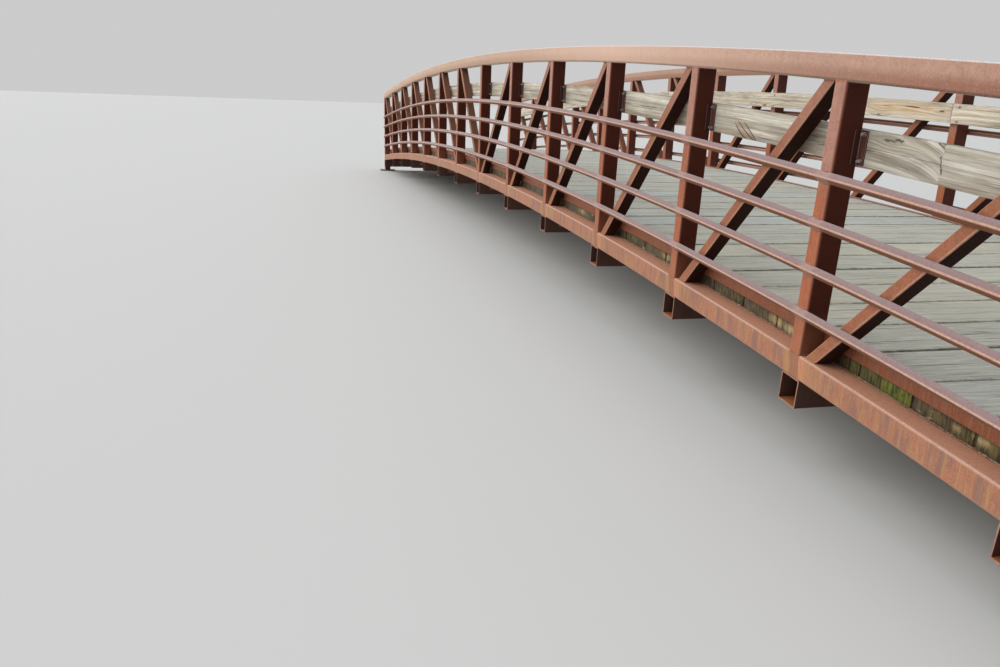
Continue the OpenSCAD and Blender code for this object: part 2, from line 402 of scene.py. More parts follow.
# %% [markdown]
# ## Weathering steel
# This steel is left bare: its rust closes into a dense skin. Seen near, the skin is a mottle of
# orange and purple-brown with a fine pale bloom; from far it reads as one warm brown. Noise
# patterns of very different size give this, from the reach of an arm down to single grains. A
# picture of rust would blur near and repeat from far, while noise measured in metres stays sharp,
# and no two members look alike.

# %% The rust skin


@as_group(warm=COLOUR, deep=COLOUR, bloom=COLOUR, bloom_amount=0.5)
def rust_skin(tree, warm, deep, bloom, bloom_amount):
    """Warm, darkened to deep by broad, hand-sized and coin-sized noise, dotted with fine bloom."""
    where = place(tree)
    broad = spread(noise(where, 1.6, 4.0), 0.35, 0.72)
    hand = spread(noise(where, 19.0, 5.0, 0.62), 0.38, 0.70)
    coin = spread(noise(where, 52.0, 4.0, 0.62), 0.42, 0.66)
    grain = noise(where, 150.0, 4.0, 0.65)
    dust = noise(where, 520.0, 2.0, 0.6)
    colour = layered(
        warm,
        (0.55 * (0.35 * broad + 0.35 * hand + 0.30 * coin), deep),
        (0.45 * spread(grain, 0.50, 0.30), deep),
        (bloom_amount * spread(grain, 0.56, 0.70), bloom))
    return {"colour": colour, "height": 0.7 * grain + 0.3 * dust}


# %% [markdown]
# ## Where the colour differs
# Light and rain sort the colours. On most members faces that look up get a dusty pink of painted
# skylight, faces that look down and sides that look along the bridge get a dark purple-brown of
# painted shade, the rounded edges are rubbed paler, and rain that runs off a joint draws ochre
# streaks down the face below it. They could be painted, with a map for each member. A mask that is
# worked out from the way the surface faces, or from its place along the bridge, needs no map and
# fits every piece.

# %% Masks from the way a face looks, and rain streaks


@as_group()
def facing_masks(tree):
    """Sky and ground: the normal points up or down. On most members the sky colour is painted
    skylight and the ground colour painted shade. Edge: 2 |ny| sqrt(1 - ny^2), which peaks on a
    corner that turns from the side to the top. Heel: the face looks straight across the bridge,
    as the blunt corner of a rail does. Painted shade: the face looks along the bridge, as the
    shaded sides of the verticals do."""
    _, across, up = facing(tree)
    sideways = abs(across)
    rest = (1.0 - sideways * sideways).larger(0.0).root()
    return {
        "sky": spread(up, 0.35, 0.85), "ground": spread(up, -0.35, -0.85),
        "edge": spread(2.0 * sideways * rest, 0.45, 1.0), "heel": spread(sideways, 0.80, 0.97),
        "shelter": spread(sideways, 0.75, 0.25)}


@as_group()
def rain_streaks(tree):
    """Noise drawn out downwards: fine runs eleven times, broad ones seven times."""
    where = place(tree)
    fine = noise(where, (80.0, 80.0, 7.0), 4.0, 0.66)
    broad = noise(where, (22.0, 22.0, 3.2), 4.0, 0.64)
    return {"fine": spread(fine, 0.47, 0.66), "broad": spread(broad, 0.46, 0.64)}


# %% Masks from the place on the bridge


@as_group()
def camber_place(tree):
    """Along = R atan2(x, z - centre), height = sqrt(x^2 + (z - centre)^2) - R, as in on_camber."""
    x, _, z = parts_of(place(tree))
    level = z - ARC_CENTRE
    return {
        "along": x.atan2(level) * ARC_RADIUS,
        "height": (x * x + level * level).root() - ARC_RADIUS}


@as_group()
def nearest_post(tree):
    """Offset = (fract(along / bay + 1/2) - 1/2) bay, which is zero on each vertical's middle line.
    Outward is 1 or -1, away from mid-span."""
    along = use(tree, camber_place).along
    return {"offset": ((along / BAY + 0.5).fraction() - 0.5) * BAY, "outward": along.sign()}


@as_group(away=NUMBER, reach=NUMBER, face=OUTER_FACE)
def arris_line(tree, away, reach, face):
    """1 close to a line on the outer face of a member, 0 beyond its reach. The distance is
    sqrt(away^2 + (|y| - face)^2), where away is measured within the face."""
    out = abs(parts_of(place(tree))[1]) - face
    return {"mask": spread((out * out + away * away).root(), reach, 0.35 * reach)}


@as_group()
def diagonal_edge(tree):
    """Distance from the nearer long edge of a diagonal. Counted from mid-span in each bay, its
    middle line is at foot + run height / web height, and leans by atan(run / web height)."""
    spot = use(tree, camber_place)
    middle = spot.height * (DIAGONAL_RUN / WEB_HEIGHT) + DIAGONAL_FOOT
    past = (abs(spot.along) / BAY).fraction() * BAY - middle
    return {"away": abs(past) * math.cos(DIAGONAL_LEAN) - DIAGONAL_WIDTH / 2}


# %% [markdown]
# ## The steel's materials
# Nine materials built by hand would drift apart, so one function mixes the skin with the masks for
# all of them. Its arguments are the colours that the photograph shows on each kind of member:
# orange-pink outer faces of the chords, purple-brown painted shade on the sides of the posts,
# dusty lilac painted skylight on the upper leg of the rails and dark orange painted shade below
# it. Marks
# go on last: thin lines along the arrises, each with its own small function. Most are painted
# light: a reflection of the sky on the top chord's upper arris; highlights on the bottom chord's
# upper arris, on the worn heels of the rails and on the outer arrises of the verticals and
# diagonals; shade on the top chord's lower arris and on the shaded arris of each vertical. Under
# each vertical the bottom chord carries run-off, and beside a slanting line an ochre band, a
# pink-brown one with a crisp edge, and a salmon one that fades out.

# %% Marks along an arris


def chord_line(at, level, reach):
    """A line along a chord's arris. The welds of the verticals break those of the bottom chord."""
    line = use(at.tree, arris_line, away=at.height - level, reach=reach).mask * at.patchy
    if level > 0.0:
        return line
    past_post = spread(at.offset, HALF_POST - 0.001, HALF_POST + 0.006)
    before_post = spread(at.offset, 0.004 - HALF_POST, -0.082)
    return line * past_post.larger(before_post)


def post_line(at, way, reach):
    """A line up one outer arris of each vertical: way is 1 or -1 along the bridge."""
    return use(at.tree, arris_line, away=at.offset - way * HALF_POST, reach=reach).mask


def diagonal_line(at, reach):
    """A line up both outer arrises of each diagonal, whose face is set back from the chord's."""
    away, face = use(at.tree, diagonal_edge).away, TRUSS_MID + HALF_POST
    return use(at.tree, arris_line, away=away, reach=reach, face=face).mask * at.patchy


def rail_heel(at):
    """A painted highlight along the heel of every rail, on an arris that is also worn, placed by
    the height left over from whole rail steps.
    """
    steps = ((at.height - LOWEST_RAIL) / RAIL_STEP + 0.5).fraction()
    return spread(abs(steps - 0.5) * RAIL_STEP, 0.0060, 0.0026) * at.patchy


def rail_joint(at):
    """A paler stretch of the rails where they are welded to a vertical."""
    near = spread(abs(at.offset), HALF_POST + 0.018, HALF_POST - 0.012)
    return 0.6 * near * at.patchy


print("marks: lines on chords, posts and diagonals, heels and joints on rails")

# %% Stains under the verticals
STAIN_LEAN = 0.22
STAIN_START, STAIN_EDGE, STAIN_FADED = -0.094, 0.033, 0.135


def post_stains(at, strength):
    """Three layers under each vertical: run-off, and the bands beside a slanting line
    offset + 0.22 height. A blurred copy of that line gives their soft edges."""
    past = at.offset * at.outward
    spill = spread(past, -0.09, 0.01) * spread(past, 0.34, 0.12)
    slant = at.height * STAIN_LEAN + at.offset
    blurred = 0.030 * (noise(at.where, 30.0) - 0.5) + slant
    uneven = at.side * spread(at.runs.fine, 0.0, 1.0, 0.55, 0.9)
    under = spread(blurred, STAIN_START, -0.062) * spread(slant, STAIN_EDGE, 0.030)
    beyond = spread(slant, 0.030, STAIN_EDGE) * spread(slant, STAIN_FADED, 0.050)
    bands = tint(spread(blurred, -0.054, -0.022), (0.43, 0.225, 0.090), (0.285, 0.115, 0.075))
    dripping = spread(at.runs.fine, 0.0, 0.8, 0.25, 1.0)
    return (
        (strength * spill * at.side * dripping, (0.38, 0.24, 0.10)),
        (under * uneven, bands),
        (0.75 * beyond * uneven, (0.60, 0.250, 0.130)))


print("stains, in metres beside a vertical's middle:", STAIN_START, "to", STAIN_FADED)

# %% One function for every steel
# Middle and reach, along the bridge, of the painted sky reflection on the top chord
CROWN_MIDDLE, CROWN_REACH = 3.7, 1.9


def make_steel(
        name, warm, deep, bloom, sky, ground, edge, shelter, streak, fine_run=(0.38, 0.24, 0.13),
        broad_run=(0.20, 0.10, 0.095), stains=0.0, far_painted_shade=None, painted_shade_cover=0.85,
        upper=None, upper_from=0.66, upper_reach=0.2, foot=None, foot_reach=0.16, crown=None,
        worn="edge", marks=lambda at: (), bloom_amount=0.5, roughness=0.72, bump=0.35, gloss=0.28,
        sheen=0.0, sheen_tint=(1.0, 0.95, 0.93)):
    """The rust skin, then streaks, stains, painted shade on sides that look along the bridge,
    foot, painted shade on faces that look down, the sky colour, mostly painted skylight, on faces
    that look up, edge and marks over it. Upper and foot paint light on the ends of a member,
    skylight high up and bounce light low down; crown paints a reflection of the sky on the top
    chord. Stains and marks are worked out from at, which holds the masks and the place on the
    bridge."""
    material, tree, shader = new_material(
        name, Specular_IOR_Level=gloss, Sheen_Weight=sheen, Sheen_Roughness=0.45,
        Sheen_Tint=sheen_tint)
    where, post = place(tree), use(tree, nearest_post)
    spot, masks = use(tree, camber_place), use(tree, facing_masks)
    dust = noise(where, 95.0, 3.0, 0.7)
    at = SimpleNamespace(
        tree=tree, where=where, height=spot.height, offset=post.offset, outward=post.outward,
        runs=use(tree, rain_streaks), side=1.0 - masks.sky,
        patchy=spread(dust, 0.30, 0.62, 0.45, 0.9))
    # Upper: painted skylight on the higher part of a member, which sees more of the sky.
    if upper:
        ragged = 0.4 * upper_reach * noise(where, 9.0) + at.height
        warm = tint(spread(ragged, upper_from, upper_from + upper_reach), warm, upper)
    skin = use(tree, rust_skin, warm=warm, deep=deep, bloom=bloom, bloom_amount=bloom_amount)
    colour = skin.colour
    # Crown: a painted reflection of the sky on the top chord, palest near the crown of the arc.
    if crown:
        away = (spot.along - CROWN_MIDDLE) / CROWN_REACH
        colour = tint(0.42 * (-1.0 * away * away).exponent(), colour, crown)
    colour = layered(
        colour,
        (0.55 * streak * at.runs.fine * at.side, fine_run),
        (0.50 * streak * at.runs.broad * at.side, broad_run))
    if stains:
        colour = layered(colour, *post_stains(at, stains))
    # Painted shade on the sides that look along the bridge; the far truss gets a lighter painted
    # shade, as light from the open side reaches it.
    if far_painted_shade:
        shelter = tint(parts_of(where)[1].above(0.0), shelter, far_painted_shade)
    colour = tint(painted_shade_cover * masks.shelter, colour, shelter)
    # Foot: painted bounce light on the low end of a member, from the chord and deck beside it.
    if foot:
        low = spread(0.08 * noise(where, 14.0) + at.height, foot_reach, 0.02, 0.0, 0.7)
        colour = tint(low, colour, foot)
    # Painted shade on faces that look down, the sky colour on faces that look up (painted skylight
    # on most members), then the edge colour and the marks.
    colour = layered(
        colour,
        (0.85 * masks.ground, ground),
        (masks.sky * spread(dust, 0.22, 0.62, 0.53, 0.85), sky),
        (0.6 * getattr(masks, worn), edge),
        *marks(at))
    rough = spread(skin.height, 0.35, 0.65, roughness + 0.12, roughness - 0.10)
    dress(shader, colour, rough, skin.height, bump, 0.0012)
    return material


print("the top chord is palest", CROWN_MIDDLE, "m from mid-span")

# %% Steel of the trusses
chord_steel = make_steel(
    "chord_steel", warm=(0.42, 0.172, 0.095), deep=(0.25, 0.10, 0.070), bloom=(0.50, 0.31, 0.24),
    sky=(0.56, 0.272, 0.170), ground=(0.11, 0.038, 0.02), edge=(0.42, 0.22, 0.16),
    shelter=(0.15, 0.055, 0.04), streak=1.25, fine_run=(0.40, 0.265, 0.115),
    broad_run=(0.215, 0.118, 0.105), stains=0.7,
    # The pale line on the upper arris is a painted highlight, broken at each vertical; a second
    # line runs along the lower arris.
    marks=lambda at: (
        (chord_line(at, 0.0, 0.0125), (0.56, 0.34, 0.26)),
        (chord_line(at, -CHORD, 0.012), (0.36, 0.18, 0.12))))
top_steel = make_steel(
    "top_chord_steel", warm=(0.255, 0.084, 0.046), deep=(0.155, 0.055, 0.036),
    bloom=(0.43, 0.28, 0.24), sky=(0.44, 0.275, 0.225), ground=(0.06, 0.025, 0.015),
    edge=(0.30, 0.15, 0.12), shelter=(0.13, 0.045, 0.03), streak=0.12,
    upper=(0.450, 0.250, 0.180), upper_from=1.122, upper_reach=0.045, crown=(0.80, 0.56, 0.44),
    sheen=0.85, sheen_tint=(1.0, 0.78, 0.58),
    # The pale blue-white line on the upper arris is a painted reflection of the sky; the dark line
    # on the lower arris is painted shade.
    marks=lambda at: (
        (chord_line(at, WEB_HEIGHT + CHORD, 0.0068), (0.68, 0.66, 0.72)),
        (chord_line(at, WEB_HEIGHT, 0.013), (0.05, 0.014, 0.006))))
post_steel = make_steel(
    "post_steel", warm=(0.415, 0.130, 0.060), deep=(0.20, 0.062, 0.036), bloom=(0.43, 0.21, 0.14),
    sky=(0.30, 0.15, 0.11), ground=(0.12, 0.045, 0.024), edge=(0.36, 0.165, 0.11),
    shelter=(0.080, 0.017, 0.009), far_painted_shade=(0.125, 0.040, 0.030), painted_shade_cover=0.97,
    streak=0.35, upper=(0.450, 0.235, 0.180), upper_from=0.68, upper_reach=0.15,
    foot=(0.37, 0.145, 0.075), foot_reach=0.27, gloss=0.15,
    # A pale painted highlight on one outer arris of each vertical, and painted shade on the other,
    # where the outer face turns into the shaded side.
    marks=lambda at: (
        (post_line(at, -1, 0.006) * at.patchy, (0.50, 0.27, 0.190)),
        (0.85 * post_line(at, 1, 0.011), (0.235, 0.085, 0.055))))
diagonal_steel = make_steel(
    "diagonal_steel", warm=(0.355, 0.130, 0.066), deep=(0.18, 0.06, 0.034),
    bloom=(0.44, 0.24, 0.16), sky=(0.30, 0.14, 0.09), ground=(0.024, 0.006, 0.003),
    edge=(0.36, 0.17, 0.105), shelter=(0.030, 0.006, 0.003), far_painted_shade=(0.075, 0.024, 0.017),
    painted_shade_cover=0.98, streak=0.3, upper=(0.375, 0.170, 0.112), upper_from=0.80,
    foot=(0.34, 0.165, 0.072), foot_reach=0.12, gloss=0.15,
    # A pale painted highlight along both outer arrises of each diagonal.
    marks=lambda at: ((diagonal_line(at, 0.0070), (0.50, 0.275, 0.190)),))
print("trusses:", *(s.name for s in (chord_steel, top_steel, post_steel, diagonal_steel)))

# %% Steel of rails, deck edge, beams, brackets and welds
# The rails' lilac upper leg is painted skylight and their dark orange lower leg painted shade.
rail_steel = make_steel(
    "rail_steel", warm=(0.225, 0.080, 0.030), deep=(0.135, 0.046, 0.016), bloom=(0.34, 0.22, 0.20),
    sky=(0.332, 0.272, 0.296), ground=(0.155, 0.040, 0.004), edge=(0.46, 0.26, 0.185),
    shelter=(0.150, 0.042, 0.006), painted_shade_cover=0.35, worn="heel", streak=0.15, gloss=0.15,
    # Marks: the painted highlight on the worn heel, and a paler stretch where each rail is welded
    # to a vertical.
    sheen=0.12, marks=lambda at: (
        (rail_heel(at), (0.62, 0.38, 0.29)), (rail_joint(at), (0.46, 0.29, 0.25))))
edge_steel = make_steel(
    "deck_edge_steel", warm=(0.27, 0.085, 0.036), deep=(0.15, 0.045, 0.022),
    bloom=(0.32, 0.15, 0.09), sky=(0.40, 0.245, 0.205), ground=(0.08, 0.03, 0.018),
    edge=(0.32, 0.15, 0.105), shelter=(0.15, 0.055, 0.032), streak=0.4)
# On the floor beams the sky colour is the orange rust on the bottom inside the tubes; their sides
# carry painted shade.
beam_steel = make_steel(
    "floor_beam_steel", warm=(0.40, 0.21, 0.15), deep=(0.20, 0.085, 0.06),
    bloom=(0.46, 0.30, 0.24), sky=(0.42, 0.14, 0.045), ground=(0.06, 0.022, 0.015),
    edge=(0.34, 0.18, 0.13), shelter=(0.055, 0.020, 0.015), streak=0.6)
# The brackets' pale edge colour is a painted highlight on the rims of their plates.
bracket_steel = make_steel(
    "bracket_steel", warm=(0.105, 0.036, 0.026), deep=(0.05, 0.018, 0.014),
    bloom=(0.22, 0.13, 0.11), sky=(0.30, 0.18, 0.15), ground=(0.04, 0.018, 0.014),
    edge=(0.34, 0.20, 0.17), shelter=(0.050, 0.018, 0.014), streak=0.2, roughness=0.55)
weld_steel = make_steel(
    "weld_steel", warm=(0.36, 0.135, 0.072), deep=(0.20, 0.07, 0.042), bloom=(0.66, 0.52, 0.46),
    sky=(0.36, 0.17, 0.12), ground=(0.14, 0.05, 0.03), edge=(0.36, 0.15, 0.09),
    shelter=(0.12, 0.045, 0.03), streak=0.3, bloom_amount=0.9, bump=0.6)
print("steels:", [m.name for m in bpy.data.materials if m.name.endswith("steel")])

# %% [markdown]
# ## Timber
# Old boards out of doors are silver-grey, with dark lines where soft grain has worn away, short
# checks that opened as the board dried, and knots that the lines bend round. The grain is worked
# out as a solid, from three numbers: metres along the board, across its face and into it. So it
# runs over the arrises and shows on the ends as it does in a real board, with no map to unfold. A
# seed, the same all over one board, gives each its own log.

# %% Grain, checks and knots


@as_group(run=NUMBER, across=NUMBER, depth=NUMBER, seed=NUMBER, knots=NUMBER)
def board_grain(tree, run, across, depth, seed, knots):
    """Noise drawn out along the board by 12 to 54 times. Knots sit in a few cells of a sparse
    cell pattern, and each pushes the grain aside; line is a sine of the pushed place."""
    log = seed * 31.7
    cells = stretched(vector_of(run, across, log), (1.7, 5.0, 1.0))
    cell = add_node(tree, "TexVoronoi", {"Vector": cells, "Scale": 1.0}, feature="F1").outputs
    distance, lottery = Value(cell["Distance"]), parts_of(Value(cell["Color"]))[0]
    chosen = spread(lottery, 0.60, 0.64) * knots
    ring = spread(distance, 0.42, 0.0) * chosen
    pushed = across + 0.035 * ring
    solid = vector_of(run, pushed, depth * 8.0 + log)
    grain = noise(solid, (1.6, 75.0, 1.0), 4.0, 0.62, 0.35)
    broad = noise(solid, (0.9, 11.0, 1.0), 3.0, 0.55)
    slit = noise(stretched(solid, (2.3, 120.0, 1.0), (3.1, 7.7, 0.0)), 1.0, 1.0, 0.4, 0.15)
    return {
        "grain": spread(grain, 0.30, 0.70),
        "fibre": noise(solid, (7.0, 380.0, 1.0), 3.0, 0.6),
        "broad": spread(broad, 0.34, 0.66), "check": spread(slit, 0.69, 0.73),
        "knot": spread(distance, 0.085, 0.045) * chosen, "ring": ring,
        "line": 0.5 * (520.0 * pushed + 42.0 * broad).sine() + 0.5}


def board_tone(tree):
    """Three random numbers that are the same all over one board."""
    return parts_of(Value(add_node(tree, "Attribute", attribute_name="tone").outputs["Color"]))


def bell(along, height, at, reach):
    """exp(-(da^2 + dh^2)) and dh, where da and dh are distances from a spot in its reaches."""
    da, dh = (along - at[0]) / reach[0], (height - at[1]) / reach[1]
    return (-1.0 * (da * da + dh * dh)).exponent(), dh


# %% [markdown]
# ## The deck planks' material
# The planks have weathered to grey-green, some bluer and some beige. The tone that each plank
# carries picks its grey, so that fifty-six planks share one material. Dirt collects in the gaps,
# so a plank is darker towards its long edges. Their sawn ends over the chord are never dry: moss
# and brown algae grow there, in upright smears, with bare fibrous spots between them.

# %% Moss, algae and bare spots on the plank ends
PLANK_PITCH = BAY / 4
DECK_SHIFT = 0.027
# Green plank ends of the near side: from, to, amount
MOSSY_ENDS = ((6.500, 6.680, 0.90), (6.310, 6.500, 0.40))
# Pale fibrous spots of the near side: place, reach, amount
BARE_SPOTS = (
    ((7.010, 0.036), (0.030, 0.015), 1.0), ((6.900, 0.030), (0.020, 0.012), 0.6),
    ((5.760, 0.024), (0.050, 0.024), 1.0), ((5.880, 0.022), (0.070, 0.020), 0.9),
    ((4.560, 0.028), (0.055, 0.020), 0.9), ((3.040, 0.030), (0.060, 0.022), 0.8))


def mossy_colour(where, camber, rim, near_side, hue, light):
    """Brown smears, then green, bare wood, a painted shadow under the edge angle, gaps and pits
    over them.
    """
    smear = noise(where, (70.0, 1.0, 16.0), 4.0, 0.70)
    patch = noise(where, (7.0, 1.0, 14.0), 3.0, 0.6)
    streaky = spread(smear, 0.38, 0.62)
    green = spread(patch, 0.52, 0.62) * spread(hue, 0.0, 1.0, 0.10, 0.50)
    for first, last, amount in MOSSY_ENDS:
        inside = (
            spread(camber.along, first, first + 0.012) * spread(camber.along, last, last - 0.012))
        green = green.larger(inside * near_side * spread(patch, 0.36, 0.50, 0.5 * amount, amount))
    bare = spread(patch, 0.37, 0.30) * spread(light, 0.35, 0.8, 0.1, 0.7)
    for at, reach, amount in BARE_SPOTS:
        bare = bare.larger(amount * bell(camber.along, camber.height, at, reach)[0] * near_side)
    return layered(
        tint(streaky, (0.034, 0.022, 0.008), (0.125, 0.092, 0.034)),
        (green, tint(streaky, (0.045, 0.062, 0.012), (0.170, 0.200, 0.018))),
        (bare * spread(smear, 0.30, 0.55, 0.35, 1.0), (0.54, 0.42, 0.20)),
        # A painted shadow across the top of the plank ends, under the deck edge angle's leg.
        (0.75 * spread(camber.height, 0.043, 0.054), (0.050, 0.018, 0.003)),
        (spread(rim, 0.478, 0.488, 0.0, 0.9), (0.012, 0.008, 0.005)),
        (spread(noise(where, 75.0, 4.0, 0.7), 0.56, 0.68, 0.0, 0.8), (0.02, 0.015, 0.008)))


print("mossy ends:", len(MOSSY_ENDS), "bare spots:", len(BARE_SPOTS))

# %% Deck timber


def make_deck_timber():
    """Greys chosen by the plank's tone, darkened by grain, checks, knots and dirty edges; the
    ends, which face along y, get the moss colours. Rim is 0 in mid-plank and 1/2 in the gap."""
    material, tree, shader = new_material(
        "deck_timber", Specular_IOR_Level=0.35, Sheen_Weight=0.22, Sheen_Roughness=0.40,
        Sheen_Tint=(0.94, 1.0, 0.99))
    where, camber = place(tree), use(tree, camber_place)
    across = parts_of(where)[1]
    rim = abs(((camber.along + (END + DECK_SHIFT)) / PLANK_PITCH).fraction() - 0.5)
    log, hue, light = board_tone(tree)
    lines = use(
        tree, board_grain, run=across, across=camber.along, depth=camber.height, seed=log,
        knots=0.55)
    dirt = spread(noise(where, 26.0, 4.0, 0.6), 0.35, 0.65, 0.10, 0.75)
    _, outwards, up = facing(tree)
    turned_in = spread(abs(across), INNER_FACE - 0.022, INNER_FACE - 0.012) * spread(up, 0.7, 0.4)
    end = spread(abs(outwards), 0.55, 0.8).larger(turned_in)
    colour = layered(
        (0.53, 0.505, 0.415),
        (spread(log, 0.25, 0.75), (0.52, 0.56, 0.53)),
        (spread(hue, 0.50, 0.95), (0.62, 0.57, 0.43)),
        (0.40 * lines.broad, (0.36, 0.38, 0.34)),
        (0.16 * lines.line, (0.30, 0.30, 0.26)),
        (0.54 * lines.grain, (0.26, 0.265, 0.23)),
        (0.70 * spread(lines.fibre, 0.52, 0.68), (0.84, 0.83, 0.75)),
        (0.8 * lines.knot, (0.09, 0.075, 0.06)),
        (spread(rim, 0.40, 0.49) * dirt, (0.15, 0.14, 0.11)),
        (0.9 * lines.check, (0.035, 0.033, 0.030)),
        (end, mossy_colour(where, camber, rim, across.below(0.0), hue, light)))
    relief = 0.35 * lines.fibre - 0.45 * lines.grain - 1.5 * lines.check
    dress(shader, colour, spread(lines.grain, 0.0, 1.0, 0.62, 0.82), relief, 0.7, 0.0025)
    return material


deck_timber = make_deck_timber()
print("material:", deck_timber.name)

# %% [markdown]
# ## The rub rails' material
# These boards stand on edge and dry fast, so they are bleached to cream. Brown and grey streaks
# run along them, and the grain sweeps round the knots. Noise can't put a mark where the real board
# has one, so the large marks are set by their place along the bridge: streaks, a knot close to a
# joint, heartwood that shows orange, a scrape of three dark lines that fan out from one point, and
# a cross break that the grain runs down into.

# %% Streaks and knots of the real boards
# Streaks of the near rail: place, reach, colour, strength
NEAR_STREAKS = (
    ((6.30, 0.822), (0.16, 0.0110), (0.15, 0.115, 0.085), 0.90),
    ((6.43, 0.832), (0.14, 0.0100), (0.15, 0.115, 0.085), 0.85),
    ((6.86, 0.821), (0.19, 0.0100), (0.16, 0.125, 0.095), 0.90),
    ((6.20, 0.852), (0.11, 0.0120), (0.26, 0.215, 0.150), 0.80),
    ((6.33, 0.882), (0.18, 0.0090), (0.29, 0.255, 0.205), 0.75),
    ((6.84, 0.882), (0.16, 0.0085), (0.25, 0.240, 0.220), 0.85),
    ((6.40, 0.804), (0.16, 0.0105), (0.84, 0.82, 0.73), 0.85),
    ((6.20, 0.797), (0.22, 0.0095), (0.84, 0.82, 0.73), 0.85),
    ((6.20, 0.914), (0.20, 0.0090), (0.86, 0.83, 0.68), 0.85),
    ((6.60, 0.852), (0.24, 0.0120), (0.72, 0.71, 0.66), 0.60),
    ((6.55, 0.911), (0.55, 0.0090), (0.80, 0.78, 0.64), 0.80),
    ((4.65, 0.885), (0.80, 0.0160), (0.97, 0.93, 0.82), 0.92),
    ((4.20, 0.895), (0.30, 0.0200), (1.0, 0.96, 0.86), 0.85),
    ((4.75, 0.793), (0.85, 0.0110), (0.24, 0.185, 0.140), 0.85),
    ((5.34, 0.794), (0.12, 0.0100), (0.12, 0.090, 0.065), 0.75),
    ((5.12, 0.820), (0.20, 0.0100), (0.34, 0.315, 0.260), 0.65),
    ((4.90, 0.848), (0.70, 0.0140), (0.32, 0.275, 0.205), 0.50),
    ((5.76, 0.803), (0.22, 0.0260), (0.34, 0.215, 0.115), 0.65),
    ((5.05, 0.802), (0.20, 0.0180), (0.52, 0.42, 0.29), 0.50))
FAR_STREAKS = (((3.80, 0.835), (0.45, 0.0200), (0.98, 0.88, 0.72), 0.60),)
# Place and reach of what pushes the grain aside, and of the two cracks in the near knot
NEAR_KNOT = (6.316, 0.898), (0.085, 0.022)
FAR_KNOT = (3.560, 0.861), (0.13, 0.034)
HEARTWOOD = (3.16, 0.862), (0.42, 0.040)
CRACKS = (((6.300, 0.897), (0.036, 0.0044)), ((6.350, 0.904), (0.030, 0.0040)))
# The cross break's place, and the height of its middle
BREAK_PLACE, BREAK_MIDDLE = (6.578, 0.846), 0.850
SCRAPE_FOOT = (5.398, 0.770)


print("streaks set by their place:", len(NEAR_STREAKS + FAR_STREAKS))

# %% The scrape


def scrape(along, height, drift, line, near_side):
    """Bared wood and dark lines. With d the distance before the foot and h the height over it, the
    outer lines are h = 2.89 d^2.5 and h = 0.516 d^0.92, and the third runs midway."""
    before = (SCRAPE_FOOT[0] - along).larger(0.0)
    rise = height - SCRAPE_FOOT[1]
    low_line, high_line = 2.89 * before ** 2.5, 0.516 * before ** 0.92
    held = (
        spread(before, 0.002, 0.02) * spread(height, 0.866, 0.845) * near_side
        * spread(before, 0.26, 0.20))
    between = spread(rise - low_line, -0.002, 0.003) * spread(high_line - rise, -0.002, 0.003)
    scratches = [
        spread(abs(rise - curve + 0.25 * drift), thick, 0.35 * thick) for curve, thick in (
            (low_line, 0.0062), (0.5 * (low_line + high_line), 0.0046), (high_line, 0.0054))]
    lines = scratches[0].larger(scratches[1]).larger(scratches[2]) * held
    return between * held * spread(line, 0.0, 1.0, 0.60, 0.20), lines


print("the scrape's lines meet at", SCRAPE_FOOT)

# %% Rub rail timber


